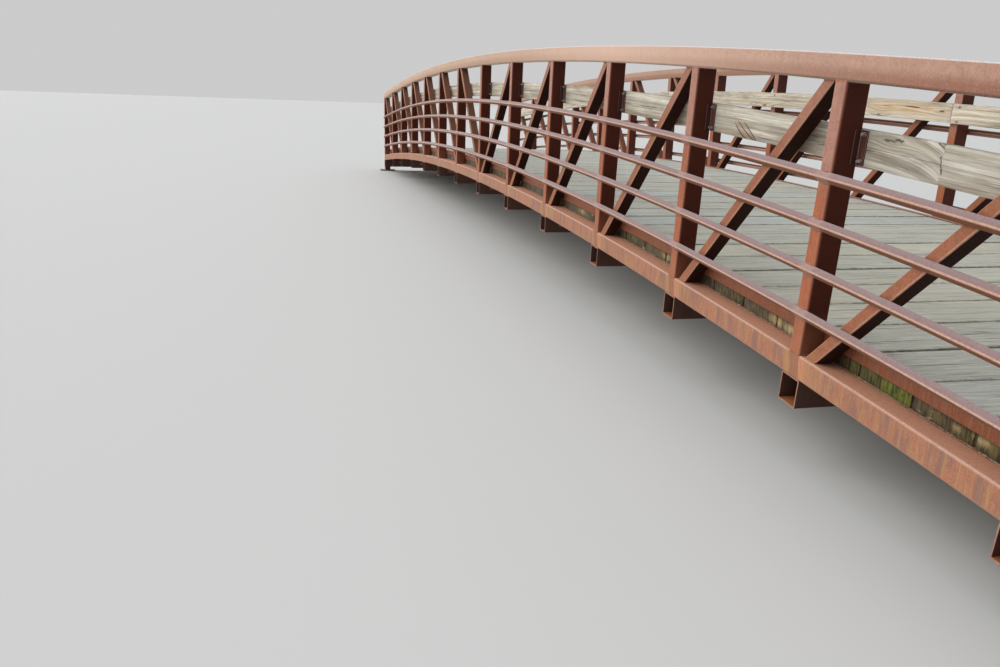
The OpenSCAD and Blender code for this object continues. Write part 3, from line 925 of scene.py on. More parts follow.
def make_rub_timber():
    """Cream, with brown by broad noise, grey-brown by grain, the streaks, orange heartwood, and
    dark knots, scratches and checks. Swept is the height that the grain had before its push."""
    material, tree, shader = new_material("rub_timber", Specular_IOR_Level=0.3)
    where, camber = place(tree), use(tree, camber_place)
    along, height = camber.along, camber.height
    across = parts_of(where)[1]
    far_side = across.above(0.0)
    near_side = 1.0 - far_side
    log, hue, _ = board_tone(tree)

    near_knot, near_rise = bell(along, height, *NEAR_KNOT)
    far_knot, far_rise = bell(along, height, *FAR_KNOT)
    heart, heart_rise = bell(along, height, *HEARTWOOD)
    to_break = BREAK_PLACE[0] - along
    fall = (-9.0 * to_break.larger(0.0)).exponent() * to_break.above(0.0)
    swept = (
        height + near_side * (0.055 * fall - 0.030 * near_knot * near_rise)
        - far_side * (0.035 * far_knot * far_rise + 0.030 * heart * heart_rise))
    lines = use(tree, board_grain, run=along, across=swept, depth=across, seed=log, knots=0.8)
    flow = vector_of(along, swept, 17.0 * log)
    band = noise(flow, (1.1, 48.0, 1.0), 4.0, 0.62, 0.2)
    drift = 0.020 * (noise(flow, (4.0, 8.0, 1.0), 2.0) - 0.5)
    colour = layered(
        (0.70, 0.665, 0.575),
        (spread(hue, 0.2, 0.9), (0.76, 0.69, 0.54)),
        # The far rail is paler: partly a paler board, partly painted light, as its face lies in
        # less shade than the near rail's.
        (0.85 * far_side, (0.90, 0.79, 0.62)),
        (lines.broad * (0.75 - 0.35 * far_side), (0.37, 0.33, 0.26)),
        (spread(band, 0.50, 0.62) * (0.85 - 0.45 * far_side), (0.25, 0.20, 0.145)),
        (spread(band, 0.46, 0.37, 0.0, 0.80), (0.84, 0.80, 0.70)),
        *((strength * bell(along, swept + drift, at, reach)[0] * side, shade)
          for side, streaks in ((near_side, NEAR_STREAKS), (far_side, FAR_STREAKS))
          for at, reach, shade, strength in streaks))

    stain = noise(where, (2.2, 3.0, 12.0), 4.0, 0.62)
    resin = 0.55 * lines.ring * spread(lines.line, 0.35, 0.75)
    heartwood = heart * far_side * spread(lines.line, 0.3, 0.8, 0.25, 0.85)
    ripped = height + 0.026 * noise(where, 70.0, 4.0, 0.7) - 0.013
    left_crack, right_crack = (bell(along, ripped, *crack)[0] for crack in CRACKS)
    crack = spread(left_crack.larger(right_crack), 0.25, 0.60) * near_side
    pith = spread(far_knot, 0.945, 0.975) * far_side
    wood, scratches = scrape(along, height, drift, lines.line, near_side)
    ragged = to_break + 0.012 * (noise(where, 90.0) - 0.5) - 0.30 * (height - BREAK_PLACE[1])
    slit = spread(abs(ragged), 0.0040, 0.0018)
    slit = slit * spread(abs(height - BREAK_MIDDLE), 0.034, 0.024) * near_side
    dark = slit.larger(lines.check)
    colour = layered(
        colour,
        (0.28 * lines.line, (0.29, 0.235, 0.165)),
        (0.62 * lines.grain, (0.235, 0.190, 0.135)),
        (0.45 * spread(lines.fibre, 0.52, 0.72), (0.86, 0.84, 0.76)),
        (spread(stain, 0.50, 0.66, 0.0, 0.55), (0.25, 0.22, 0.18)),
        ((resin + heartwood).smaller(0.85), (0.60, 0.33, 0.13)),
        (wood, (0.36, 0.215, 0.115)),
        (0.88 * (crack + pith + lines.knot).smaller(1.0), (0.075, 0.058, 0.055)),
        (0.9 * scratches, (0.055, 0.030, 0.015)),
        (0.88 * dark, (0.055, 0.045, 0.035)))
    relief = 0.3 * lines.fibre - 0.4 * lines.grain - 1.5 * dark
    dress(shader, colour, spread(lines.grain, 0.0, 1.0, 0.62, 0.82), relief, 0.6, 0.0022)
    return material


rub_timber = make_rub_timber()
print("material:", rub_timber.name)

# %% [markdown]
# ## Zinc and silt
# The bolts are galvanised: dull grey with a little rust where the zinc has gone. Sand, dust and
# flakes of rust wash off the deck and lie in the slot between the plank ends and the chord. They
# dry to a grey-brown crust, with pale grains and a dark damp line along its foot. Both finishes
# are only seen small, so two sizes of noise are enough for each.

# %% Galvanised bolts and silt crust
SILT_INNER, SILT_OUTER = INNER_FACE - 0.0075, INNER_FACE + 0.0040


def make_zinc():
    """Grey metal, mottled, with rust where noise is high."""
    material, tree, shader = new_material("galvanised_steel")
    where = place(tree)
    mottle = spread(noise(where, 180.0, 3.0, 0.6), 0.35, 0.65)
    rusted = spread(noise(where, 85.0, 4.0, 0.65), 0.44, 0.58)
    colour = tint(mottle, (0.66, 0.63, 0.62), (0.24, 0.19, 0.17))
    put(shader.inputs["Metallic"], spread(rusted, 0.0, 1.0, 0.55, 0.05))
    dress(
        shader, tint(0.85 * rusted, colour, (0.14, 0.065, 0.045)),
        spread(mottle, 0.0, 1.0, 0.30, 0.5), mottle, 0.3, 0.0006)
    return material


def make_silt():
    """Grey-brown, mottled by coarse noise and dotted pale and dark by grains of two sizes."""
    material, tree, shader = new_material("silt_crust", Specular_IOR_Level=0.2)
    where = place(tree)
    lumps = noise(where, 120.0, 4.0, 0.7)
    grains = noise(where, 420.0, 3.0, 0.7)
    foot = spread(abs(parts_of(where)[1]), SILT_OUTER - 0.0032, SILT_OUTER - 0.0010)
    colour = layered(
        (0.115, 0.070, 0.045),
        (spread(lumps, 0.36, 0.62), (0.36, 0.235, 0.155)),
        (spread(grains, 0.60, 0.68, 0.0, 0.9), (0.72, 0.62, 0.52)),
        (spread(grains, 0.40, 0.32, 0.0, 0.8), (0.040, 0.026, 0.018)),
        (0.75 * foot, (0.055, 0.028, 0.018)))
    dress(shader, colour, 0.9, 0.6 * lumps + 0.4 * grains, 0.9, 0.003)
    return material


zinc_steel, silt_crust = make_zinc(), make_silt()
print("materials:", zinc_steel.name, silt_crust.name)

# %% [markdown]
# ## Skins
# Every new piece is a closed skin: a ring of points carried through rows, with a flat cap at each
# end or, for a bead that runs round a tube, joined to its own start. Grids of points make this
# quick: the corners of all faces are found by shifting whole arrays. The signed volume of a skin
# tells whether it is inside out.

# %% Turn grids of points into closed pieces


def side_corners(grid, looped):
    """The four corners of every side face: a point, the next one round the ring, and these two in
    the next row. The last row of a loop is joined to its first."""
    if looped:
        grid = np.concatenate([grid, grid[:, :1]], axis=1)
    ahead = np.roll(grid, -1, axis=2)
    return grid[:, :-1], ahead[:, :-1], ahead[:, 1:], grid[:, 1:]


def signed_volume(grid, looped):
    """Sum of a . (b x c) over the triangles of each skin: positive when they face outwards."""
    a, b, c, d = side_corners(grid, looped)
    total = (a * (np.cross(b, c) + np.cross(c, d))).sum((1, 2, 3))
    if not looped:
        for end, way in ((grid[:, 0], -1), (grid[:, -1], 1)):
            fan = end.mean(1, keepdims=True) * np.cross(end, np.roll(end, -1, axis=1))
            total += way * fan.sum((1, 2))
    return total / 6


def skin_faces(grid, first_corner, looped):
    """Faces of the skins in a (count, rows, ring, 3) grid."""
    count, rows, ring = grid.shape[:3]
    corner = first_corner + np.arange(count * rows * ring).reshape(count, rows, ring)
    sides = np.stack(side_corners(corner, looped), axis=-1)
    caps = np.stack([corner[:, 0, ::-1], corner[:, -1]], axis=1)[:, :0 if looped else 2]
    inside_out = signed_volume(grid, looped) < 0
    sides[inside_out] = sides[inside_out][..., ::-1]
    caps[inside_out] = caps[inside_out][..., ::-1]
    return sides.reshape(-1, 4).tolist() + caps.reshape(-1, ring).tolist()


def make_piece(
        name, skins, material, stands_for=(), loops=(), tones=None, smooth_under=32.0):
    """One object from stacks of skins with caps and of loops without. Tones are three numbers for
    each skin. Edges sharper than smooth_under degrees stay crisp."""
    grids = [*skins, *loops]
    faces, start = [], 0
    for index, grid in enumerate(grids):
        faces += skin_faces(grid, start, looped=index >= len(skins))
        start += grid[..., 0].size
    mesh = bpy.data.meshes.new(name)
    mesh.from_pydata(np.concatenate([g.reshape(-1, 3) for g in grids]), [], faces)
    if tones is not None:
        point_tones = np.concatenate([
            np.repeat(tone, g.shape[1] * g.shape[2], axis=0) for tone, g in zip(tones, grids)])
        colours = np.column_stack([point_tones, np.ones(start)])
        mesh.attributes.new("tone", "FLOAT_COLOR", "POINT").data.foreach_set(
            "color", colours.ravel())
    mesh.shade_smooth()
    mesh.set_sharp_from_angle(angle=math.radians(smooth_under))
    mesh.materials.append(material)
    piece = bpy.data.objects.new(name, mesh)
    bpy.context.scene.collection.objects.link(piece)
    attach(piece, BODY)
    if stands_for:
        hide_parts(*stands_for)
    triangles = sum(len(face) - 2 for face in faces)
    print(f"{name}: {sum(len(g) for g in grids)} skins, {triangles} triangles")


print("skins, with caps and without, are ready")

# %% Rounds, wandering lines and worn arrises


def rounded(corners, radii, steps=3):
    """A polygon whose corners are short parabolas: (1-t)^2 start + 2t(1-t) corner + t^2 end."""
    corners = np.asarray(corners, float)
    radii = np.broadcast_to(np.asarray(radii, float), len(corners))[:, None]

    def moved(towards):
        step = towards - corners
        return corners + radii * step / np.linalg.norm(step, axis=1, keepdims=True)

    before, after = moved(np.roll(corners, 1, axis=0)), moved(np.roll(corners, -1, axis=0))
    t = np.linspace(0.0, 1.0, steps + 1)[None, :, None]
    curve = (1 - t) ** 2 * before[:, None] + 2 * t * (1 - t) * corners[:, None]
    return (curve + t ** 2 * after[:, None]).reshape(-1, 2)


def wander(random, count, where, reach, shortest):
    """A smooth wandering line for each of count pieces: four sines of random length and phase."""
    waves = 2 * math.pi / random.uniform(shortest, shortest * 6, (count, 4, 1))
    phases = random.uniform(0, 2 * math.pi, (count, 4, 1))
    return reach * np.sin(waves * where + phases).sum(1) / 2.5


def narrowed_ends(start, stop, middle, inset, pinch):
    """Rows from start to stop, two of them close to each end, at inset from it; and how far the
    section shrinks there: by two numbers, pinch, at the end and beside it."""
    inset = np.array([0.0, *inset])
    rows = np.concatenate([start + inset, middle, stop - inset[::-1]])
    shrink = np.zeros(len(rows))
    shrink[[0, -1]], shrink[[1, -2]] = pinch
    return rows, shrink


def eased(value):
    """Smooth step 3v^2 - 2v^3 from 0 to 1."""
    value = np.clip(value, 0.0, 1.0)
    return value * value * (3 - 2 * value)


def worn_arris(across, level, out, up, size, steps, flat=1.0):
    """The parabola that wears away a corner at (across, level). Out and up are 1 or -1, the way
    the corner points; it is size wide and flat * size high. The last axis counts its points."""
    t = np.linspace(0.0, 1.0, steps)
    first, second = ((1 - t) ** 2, t ** 2) if out * up < 0 else (t ** 2, (1 - t) ** 2)
    size = size[..., None]
    return across[..., None] - out * size * first, level[..., None] - up * flat * size * second


print("rounds, wandering lines and worn arrises are ready")

# %% [markdown]
# ## Deck planks
# Fifty-six sawn planks lie across the bridge. Each has dried in its own way: it cups a little, its
# arrises are worn round, its edges wander by a millimetre, and long checks have opened along it.
# Bump mapping can't make a check look deep when it is seen along the deck, so two real grooves are
# cut into the top of each plank. All planks are one array, with one row of numbers per plank.

# %% Checks and splits in the planks
PLANK_GAP = 0.0088
PLANK_REACH = INNER_FACE - ANGLE_THICK - 0.002
PLANK_COUNT = 56
CHECK_PLACE, CHECK_DEPTH, HAIRLINE = 0.062, 0.011, 0.0004
# Splits that go deep down: number of the plank, place from its middle, width, from and to across
SPLITS = (
    (49, -0.021, 0.0050, -1.29, -0.75), (50, -0.013, 0.0060, -1.29, 0.10),
    (50, -0.047, 0.0030, -1.10, -0.35))
SPLIT_DEPTH = 0.055
LEFT_FROM = -0.03


def check_depth(random, where):
    """A groove opens and closes: zero outside a random stretch, and eased at both its ends."""
    start = random.uniform(-1.5, 0.7, (PLANK_COUNT, 1))
    stop = start + random.uniform(0.5, 2.3, (PLANK_COUNT, 1))
    open_part = eased(np.minimum(where - start, stop - where) / 0.35)
    return open_part * random.uniform(0.25, 1.0, (PLANK_COUNT, 1)) * CHECK_DEPTH


def plank_grooves(random, rows):
    """Centre, depth and half width of the right and the left groove of every plank and row. A
    split takes the place of one of the two."""
    centres = [
        way * CHECK_PLACE + random.uniform(-0.03, 0.03, (PLANK_COUNT, 1))
        + wander(random, PLANK_COUNT, rows, 0.006, 0.35) for way in (1, -1)]
    depths = [check_depth(random, rows) for _ in centres]
    halves = [HAIRLINE + 0.17 * depth for depth in depths]
    for number, middle_at, width, first, last in SPLITS:
        left = int(middle_at < LEFT_FROM)
        open_part = eased(np.minimum(rows - first, last - rows) / 0.25)
        line = centres[left][number]
        centres[left][number] = middle_at + 0.35 * (line - line.mean())
        depths[left][number] = SPLIT_DEPTH * open_part
        halves[left][number] = HAIRLINE + width / 2 * open_part
    return centres, depths, halves


print("splits that go deep down:", len(SPLITS))

# %% Deck planks as one array
CUP_REACH = 0.15
TOP_ARRIS, LOW_ARRIS = 0.006, 0.003


def plank_skins(random):
    """Section points go round from the middle of the underside: lower arris, side, upper arris,
    the top with its two grooves, and back. Half width and height vary with plank and row."""
    def vary(low, high):
        return random.uniform(low, high, (PLANK_COUNT, 1))

    def waver(reach, shortest):
        return wander(random, PLANK_COUNT, rows, reach, shortest)

    middle = np.linspace(-0.96, 0.96, 34) * PLANK_REACH
    rows, pinch = narrowed_ends(
        -PLANK_REACH, PLANK_REACH, middle, (0.0012, 0.0035), (0.0028, 0.0009))
    along = rows * (1.0 - vary(0.0, 0.004) / PLANK_REACH)
    half = (PLANK_PITCH - PLANK_GAP) / 2
    left = half - vary(0.0, 0.0015) - np.abs(waver(0.0011, 0.12)) - pinch
    right = half - vary(0.0, 0.0015) - np.abs(waver(0.0011, 0.12)) - pinch
    top = PLANK_THICK - vary(0.0, 0.0022) - np.abs(waver(0.0006, 0.4)) - pinch
    cup = vary(-0.0011, 0.0014)
    wear = TOP_ARRIS * (1.0 + waver(0.35, 0.15))
    (right_at, left_at), depths, (right_half, left_half) = plank_grooves(random, rows)

    nought = np.zeros_like(top)
    small = np.full_like(top, LOW_ARRIS)
    across_top = np.stack([
        right * 0.8, right_at + right_half, right_at, right_at - right_half, nought,
        left_at + left_half, left_at, left_at - left_half, -left * 0.8], axis=-1)
    drop = np.zeros_like(across_top)
    drop[..., 2], drop[..., 6] = depths
    x, z = (np.concatenate(parts, axis=-1) for parts in zip(
        (nought[..., None], nought[..., None]),
        worn_arris(right, nought, 1, -1, small, 5), worn_arris(right, top, 1, 1, wear, 5, 0.8),
        (across_top, top[..., None] - drop),
        worn_arris(-left, top, -1, 1, wear, 5, 0.8), worn_arris(-left, nought, -1, -1, small, 5)))
    z = z + cup[..., None] * (x / CUP_REACH) ** 2 * (z > PLANK_THICK / 2)
    z = np.clip(z, 0.0, PLANK_THICK) + pinch[:, None] * (z < PLANK_THICK / 2)
    station = (np.arange(PLANK_COUNT) + 0.5) * PLANK_PITCH - END - DECK_SHIFT
    y = np.broadcast_to(along[..., None], x.shape)
    return stood_at(np.stack([x, y, z], axis=-1), station)


print("a plank is at most", round(1000 * (PLANK_PITCH - PLANK_GAP)), "mm wide")

# %% Make the planks
plank_random = np.random.default_rng(56)
plank_grid = plank_skins(plank_random)
plank_tones = plank_random.random((PLANK_COUNT, 3))
for name, first, last in (("left", 0, 18), ("middle", 18, 38), ("right", 38, 56)):
    make_piece(
        f"worn_planks_{name}", [plank_grid[first:last]], deck_timber,
        stands_for=(f"deck_planks_{name}",), tones=[plank_tones[first:last]])

# %% [markdown]
# ## Rub rails
# A rub rail is a heavy board on edge, bolted on the walkway side of each truss so that nothing
# that passes rubs against the steel. Four boards make each rail. A bevelled box would wear alike
# all along, so a board is a section carried along the camber, whose arrises and checks change from
# row to row.

# %% Rub rails
RUB_BASE, RUB_TOP = 0.782, 0.9217
RUB_INNER, RUB_OUTER = 1.2494, INNER_FACE
RUB_GAP, RUB_ROW = 0.004, 0.05
RUB_ARRIS, RUB_CHECK = 0.0050, 0.004
RUB_JOINTS = {"near": (-3, 0, 4), "far": (-4, 0, 3)}


def rub_board(random, start, stop, side):
    """Ring: lower outer arris, outer face, two upper arrises, inner face and lower inner arris.
    Three points in the middle of each face make its check."""
    def waver(reach, shortest, count=1):
        return wander(random, count, rows, reach, shortest)

    middle = np.linspace(start, stop, max(int((stop - start) / RUB_ROW), 20))[1:-1]
    rows, pinch = narrowed_ends(start, stop, middle, (0.0015, 0.004), (0.003, 0.001))
    low = RUB_BASE + np.abs(waver(0.0016, 0.5))[0] + pinch
    high = RUB_TOP - np.abs(waver(0.0018, 0.5))[0] - pinch
    outer = RUB_OUTER - pinch
    inner = RUB_INNER + np.abs(waver(0.0010, 0.5))[0] + pinch
    wear = RUB_ARRIS * (1 + waver(0.5, 0.12, 4))
    split_out, split_in = ((low + high) / 2 + waver(0.022, 0.9)[0] for _ in range(2))
    open_part = eased((np.minimum(rows - start, stop - rows) + waver(0.6, 0.8)[0]) / 0.5)
    depth = RUB_CHECK * open_part
    width = HAIRLINE + 0.16 * depth

    def groove(face, middle, out):
        y = np.stack([face, face - out * depth, face], axis=1)
        return y, np.stack([middle - out * width, middle, middle + out * width], axis=1)

    y, h = (np.concatenate(parts, axis=1) for parts in zip(
        worn_arris(outer, low, 1, -1, wear[0], 4), groove(outer, split_out, 1),
        worn_arris(outer, high, 1, 1, wear[1], 4), worn_arris(inner, high, -1, 1, wear[2], 4),
        groove(inner, split_in, -1), worn_arris(inner, low, -1, -1, wear[3], 4)))
    return on_camber(rows[:, None], side * y, h)[None]


rub_random = np.random.default_rng(14)
for side, joints in RUB_JOINTS.items():
    edges = [-HALF_BAYS, *joints, HALF_BAYS]
    boards = []
    for first, last in zip(edges[:-1], edges[1:]):
        start = first * BAY + (RUB_GAP / 2 if first > -HALF_BAYS else -HALF_POST)
        stop = last * BAY + (-RUB_GAP / 2 if last < HALF_BAYS else HALF_POST)
        boards.append(rub_board(rub_random, start, stop, SIDES[side]))
    make_piece(
        f"worn_rub_rail_{side}", boards, rub_timber,
        stands_for=(f"rub_rail_{side}",), tones=[rub_random.random((1, 3)) for _ in boards])

# %% [markdown]
# ## Silt in the slot
# Seven millimetres are open between the plank ends and the chord, and the crust of silt in there
# stands a little above the chord's top face. Loose grains would need many triangles for little to
# see, so it is one long lumpy skin on each side: the height and the outer edge of every row
# wander, and each point is nudged at random.

# %% Silt along both chords
SILT_ROW = 0.012
# Ring of the mound: part of its width, and part of its height or, below zero, metres
SILT_RING = np.array([
    [0.0, -0.012], [0.0, 0.35], [0.30, 0.85], [0.60, 1.0], [0.85, 0.55], [1.0, 0.0],
    [0.75, -0.004]])


def silt_skin(random, side):
    """A low mound between the planks' ends and the chord's rounded corner."""
    rows = np.arange(-END, END, SILT_ROW)
    widest = SILT_OUTER - SILT_INNER
    heap = 0.0028 + 0.0016 * wander(random, 1, rows, 1.0, 0.05)[0]
    heap = np.clip(heap + random.uniform(-0.0009, 0.0009, len(rows)), 0.0008, 0.0060)
    reach = 0.78 + 0.10 * wander(random, 1, rows, 1.0, 0.06)[0]
    reach = widest * (reach + random.uniform(-0.08, 0.08, len(rows)))
    across = SILT_INNER + SILT_RING[:, 0] * np.clip(reach, 0.004, widest)[:, None]
    lumps = random.uniform(0.75, 1.25, (len(rows), len(SILT_RING)))
    up = SILT_RING[:, 1] * np.where(SILT_RING[:, 1] > 0.0, heap[:, None] * lumps, 1.0)
    return on_camber(rows[:, None], side * across, up)[None]


silt_random = np.random.default_rng(31)
for side, sign in SIDES.items():
    make_piece(
        f"silt_ridge_{side}", [silt_skin(silt_random, sign)], silt_crust,
        smooth_under=60.0)

# %% [markdown]
# ## Rolled angles
# The safety rails and the deck edge are hot rolled angles. Rolling leaves a crisp heel with a
# small round, softer toes and a fillet inside, and those rounds catch the light as thin bright
# lines. A bevel would give heel, toe and fillet one width, so the straight-cornered solids are
# replaced by the same sections with a radius for each corner.

# %% Safety rails and deck edge
RAIL_PROUD, RAIL_INSIDE = 0.02245, 0.01566
EDGE_LEG, EDGE_TOP = 0.0508, 0.1064
RAIL_HEIGHTS = {number + 1: LOWEST_RAIL + number * RAIL_STEP for number in range(4)}
sweep_rows = np.linspace(-END - HALF_POST, END + HALF_POST, 65)

rail_ring = rounded(
    [(RAIL_PROUD, 0), (0, RAIL_PROUD), (0, RAIL_INSIDE),
     (RAIL_INSIDE, 0), (0, -RAIL_INSIDE), (0, -RAIL_PROUD)],
    [0.0026, 0.0012, 0.0008, 0.0035, 0.0008, 0.0012])
edge_ring = rounded(
    [(0, 0), (0, -EDGE_LEG), (-ANGLE_THICK, -EDGE_LEG),
     (-ANGLE_THICK, -ANGLE_THICK), (-EDGE_LEG, -ANGLE_THICK), (-EDGE_LEG, 0)],
    [0.0028, 0.0016, 0.0008, 0.0035, 0.0008, 0.0016])


def carried(ring, across, height, side):
    """A ring of (outwards, up) carried along the camber on one side of the bridge."""
    return on_camber(sweep_rows[:, None], side * (across + ring[:, 0]), height + ring[:, 1])[None]


for side, sign in SIDES.items():
    for number, height in RAIL_HEIGHTS.items():
        make_piece(
            f"rolled_rail_{number}_{side}", [carried(rail_ring, OUTER_FACE, height, sign)],
            rail_steel, stands_for=(f"safety_rail_{number}_{side}",))
    make_piece(
        f"rolled_deck_edge_{side}", [carried(edge_ring, INNER_FACE, EDGE_TOP, sign)],
        edge_steel, stands_for=(f"deck_edge_{side}",))

# %% [markdown]
# ## Rub rail brackets and bolts
# Short angles carry the rub rails: one leg is welded to the side of a vertical, the other lies
# against the back of the board. Two round-headed bolts go through each, and their nuts show on the
# outer side of the board. They could be placed one by one; here each shape is drawn once and an
# array turns it to every station on the arc.

# %% Brackets
BOARD_LEG, POST_LEG = 0.04445, 0.03175
BRACKET_BASE, BRACKET_TOP, CUT_EASE = 0.786, 0.9177, 0.0012
stations = np.arange(-HALF_BAYS, HALF_BAYS + 1) * BAY
bracket_way = np.where(stations > END - 0.1, -1.0, 1.0)
bracket_ring = rounded(
    [(0, 0), (BOARD_LEG, 0), (BOARD_LEG, ANGLE_THICK), (ANGLE_THICK, ANGLE_THICK),
     (ANGLE_THICK, POST_LEG), (0, POST_LEG)],
    [0.0030, 0.0008, 0.0026, 0.0050, 0.0026, 0.0008])


def bracket_stack(side):
    """The L ring at four heights; the first and last are drawn in to ease the cut ends."""
    heights = np.array([
        BRACKET_BASE, BRACKET_BASE + CUT_EASE, BRACKET_TOP - CUT_EASE, BRACKET_TOP])
    drawn_in = np.array([0.0006, 0.0, 0.0, 0.0006])[:, None, None]
    ring = bracket_ring * (1 - drawn_in / 0.02) + drawn_in
    local = np.zeros((len(stations), len(heights), len(bracket_ring), 3))
    local[..., 0] = bracket_way[:, None, None] * (HALF_POST + ring[..., 0])
    local[..., 1] = INNER_FACE + ring[..., 1]
    local[..., 2] = heights[:, None]
    return stood_at(local, stations, side)


for side, sign in SIDES.items():
    make_piece(
        f"rub_rail_angles_{side}", [bracket_stack(sign)], bracket_steel,
        stands_for=(f"rub_rail_brackets_{side}",))

# %% Bolts, washers and nuts
BOLT_HEIGHTS = (0.802, 0.9025)
BOLT_FROM_POST = 0.027
SPOKES = 18
spokes = np.linspace(0, 2 * math.pi, SPOKES, endpoint=False)
hexagon = 1 / np.cos((spokes + math.pi / 6) % (math.pi / 3) - math.pi / 6)


def turned(*profile):
    """Rings of (radius, distance) about the bolt's axis. A third number, 0 to 1, is how far the
    round turns into a hexagon with that distance between its flats."""
    radius, distance, flats = np.array(profile).T[:, :, None]
    radius = radius * (1 + (hexagon - 1) * flats)
    distance = np.broadcast_to(distance, radius.shape)
    return np.stack([radius * np.cos(spokes), distance, radius * np.sin(spokes)], axis=-1)


washer = turned((0.0100, 0.0, 0), (0.0103, 0.0005, 0), (0.0103, 0.0017, 0), (0.0098, 0.0021, 0))
nut = turned((0.0076, 0.0021, 1), (0.0080, 0.0026, 1), (0.0080, 0.0100, 1), (0.0072, 0.0109, 0.4))
shank = turned((0.0055, 0.009, 0), (0.0055, 0.0165, 0), (0.0043, 0.0180, 0))
dome = turned(
    (0.0030, -0.0055, 0), (0.0075, -0.0049, 0), (0.0112, -0.0034, 0), (0.0134, -0.0014, 0),
    (0.0138, 0.0006, 0))


def bolt_stack(shape, face, side):
    """One copy of a turned shape at every bolt, spun at random about its axis."""
    at, way = np.repeat(stations, 2), np.repeat(bracket_way, 2)[:, None, None]
    height = np.tile(BOLT_HEIGHTS, len(stations))[:, None, None]
    spin = np.random.default_rng(7).uniform(0, 2 * math.pi, len(at))[:, None, None]
    x, y, z = np.moveaxis(shape, -1, 0)
    local = np.zeros((len(at), *shape.shape))
    local[..., 0] = way * (HALF_POST + BOLT_FROM_POST) + x * np.cos(spin) - z * np.sin(spin)
    local[..., 1] = face + y
    local[..., 2] = height + x * np.sin(spin) + z * np.cos(spin)
    return stood_at(local, at, side)


for side, sign in SIDES.items():
    outside = INNER_FACE + ANGLE_THICK
    make_piece(
        f"rub_rail_nuts_{side}", [bolt_stack(s, outside, sign) for s in (washer, nut, shank)],
        zinc_steel)
    make_piece(
        f"rub_rail_bolt_heads_{side}", [bolt_stack(dome, RUB_INNER + 0.0008, sign)], zinc_steel)

# %% [markdown]
# ## Welds
# Every joint of the trusses is welded. Where a vertical is as wide as the chord, the welder fills
# the hollow over the chord's rounded corner until the two faces run together, and this is why the
# bright line along the chord breaks at each vertical. Elsewhere the weld is a rippled bead. A bead
# is a small ring carried along a line, its size rising and falling with the ripples: a random
# radius in each row looks as uneven as a welder's hand, without a ripple being modelled by hand.

# %% Straight beads
BEAD, RAIL_BEAD, BEAD_OUT = 0.0052, 0.0030, 0.0008
HALF_BEAD = CHORD / 2 - TUBE_CORNER
DIAGONAL_CORNER = 0.006
LEVELS = ((0.0, 1.0), (WEB_HEIGHT, -1.0))
bead_angles = np.arange(6) * math.pi / 3
bead_ring = np.column_stack([np.cos(bead_angles), np.sin(bead_angles)])


def straight_bead(centre, half, size, side, seed, rows=9, ripple=0.16):
    """The same bead at every station. It runs from centre - half to centre + half, its radius
    swells by 1 +/- ripple, and both ends taper."""
    span = np.linspace(-1, 1, rows)
    taper = np.sqrt(np.clip(1.04 - np.abs(span) ** 6, 0.02, 1))
    random = np.random.default_rng(seed)
    swell = size * taper * (1 + random.uniform(-ripple, ripple, (len(stations), rows)))
    up = np.array([0.0, 0.0, 1.0])
    aside = np.cross(half / np.linalg.norm(half), up)
    ring = bead_ring[:, :1] * aside + bead_ring[:, 1:] * up
    line = np.array(centre) + span[:, None] * np.array(half)
    return stood_at(line[:, None] + swell[..., None, None] * ring, stations, side)


def post_beads(side):
    """At the foot and the head of each vertical: a bead along each side that faces along it."""
    return [
        straight_bead(
            (way * (HALF_POST + BEAD_OUT), TRUSS_MID, level + 0.25 * BEAD * upright),
            (0, HALF_BEAD, 0), BEAD, side, seed=int(level) + way + 5)
        for level, upright in LEVELS for way in (-1, 1)]


print("points round a bead:", len(bead_ring))

# %% Corner fills, and beads round the diagonals


def corner_fills(side):
    """Section of the fill: the hollow between the vertical's face, the chord's face and its
    rounded corner, full by three quarters of a millimetre. It runs the width of the vertical."""
    arc = np.linspace(0, math.pi / 2, 4)
    across = np.concatenate([TUBE_CORNER * (1 - np.sin(arc)), [-0.0006, -0.0009]])
    up = np.concatenate([TUBE_CORNER * (np.cos(arc) - 1), [-TUBE_CORNER * 0.85, 0.002]])
    span = np.array([-1.0, -0.93, -0.5, 0.0, 0.5, 0.93, 1.0]) * (HALF_POST - 0.001)
    shrink = np.array([0.35, 0.95, 1.0, 1.0, 1.0, 0.95, 0.35])[:, None]
    local = np.zeros((len(stations), len(span), len(across), 3))
    local[..., 0] = span[:, None]
    made = []
    for level, upright in LEVELS:
        for face, way in ((OUTER_FACE, -1.0), (INNER_FACE, 1.0)):
            local[..., 1] = face + way * across * shrink
            local[..., 2] = level + upright * up * shrink
            made.append(stood_at(local, stations, side))
    return made


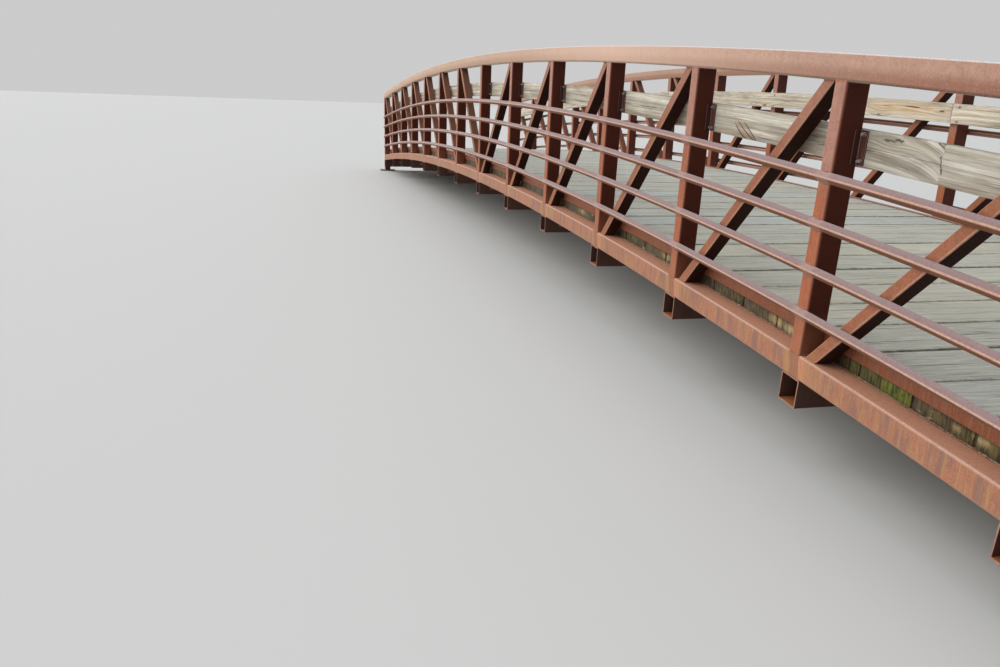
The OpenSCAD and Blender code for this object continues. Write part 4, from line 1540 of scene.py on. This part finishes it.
def diagonal_beads(side):
    """A closed bead round the foot and the head of each diagonal, on a rounded rectangle."""
    long, wide = DIAGONAL_WIDTH / math.cos(DIAGONAL_LEAN) / 2, HALF_POST
    corners = [(long, wide), (-long, wide), (-long, -wide), (long, -wide)]
    path = rounded(corners, DIAGONAL_CORNER, 5)
    outward = path / np.linalg.norm(path, axis=1, keepdims=True)
    ring = bead_ring * BEAD * 0.85
    loop = np.zeros((len(path), len(ring), 3))
    loop[..., :2] = path[:, None] + outward[:, None] * ring[:, :1]
    loop[..., 2] = ring[:, 1]
    centre = loop.mean(axis=1, keepdims=True)
    bays = np.arange(HALF_BAYS)
    feet = (bays * BAY + DIAGONAL_FOOT, 0.0), ((bays + 1) * BAY - DIAGONAL_FOOT, WEB_HEIGHT)
    made = []
    for way in (-1.0, 1.0):
        for at, level in feet:
            random = np.random.default_rng(int(level) + 11)
            ripple = 1 + random.uniform(-0.12, 0.12, (len(at), len(path), 1, 1))
            local = centre + (loop - centre) * ripple + [0.0, TRUSS_MID, level]
            made.append(stood_at(local, way * at, side))
    return made


print("diagonals with closed beads on each side:", 2 * HALF_BAYS)

# %% Beads of the rails and the floor beams


def rail_beads(side):
    """Short beads where the two toes of each rail lie against each vertical."""
    return [
        straight_bead(
            (0.0, OUTER_FACE + 0.0004, height + toe * (RAIL_PROUD + BEAD_OUT)),
            (HALF_POST - 0.012, 0, 0), RAIL_BEAD, side, seed=toe + 20, rows=7, ripple=0.25)
        for height in RAIL_HEIGHTS.values() for toe in (-1, 1)]


def floor_beam_beads(side):
    """Beads across the underside of the chord, in the hollow beside each floor beam."""
    return [
        straight_bead(
            (way * (FLOOR_BEAM / 2 + 0.0005), TRUSS_MID, -CHORD - 0.0010), (0, HALF_BEAD, 0),
            BEAD * 1.1, side, seed=way + 30)
        for way in (-1, 1)]


print("rail beads at each vertical:", 2 * len(RAIL_HEIGHTS))

# %% Make the welds
for side, sign in SIDES.items():
    make_piece(
        f"weld_beads_{side}",
        post_beads(sign) + corner_fills(sign) + rail_beads(sign) + floor_beam_beads(sign),
        weld_steel, loops=diagonal_beads(sign), smooth_under=70.0)

# %% [markdown]
# ## The tubes keep their shape
# The chords, posts, diagonals, floor beams, stringers and bracing are cold formed tubes whose
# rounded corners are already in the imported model. Making them again would gain nothing, so they
# only get their finish, which goes onto the material slots they have.

# %% Give the tubes their steel
FINISH = {
    "bottom_chord": chord_steel, "top_chord": top_steel, "chord_end_caps": top_steel,
    "verticals": post_steel, "end_posts": post_steel, "diagonals": diagonal_steel,
    "floor_beams": beam_steel, "end_floor_beams": beam_steel, "stringer": beam_steel,
    "wind_bracing": beam_steel, "bearing": beam_steel}
for name, node in nodes.items():
    for start, steel in FINISH.items():
        if name.startswith(start):
            for slot in node.material_slots:
                slot.material = steel
print("tubes finished:", sum(name.startswith(tuple(FINISH)) for name in nodes))
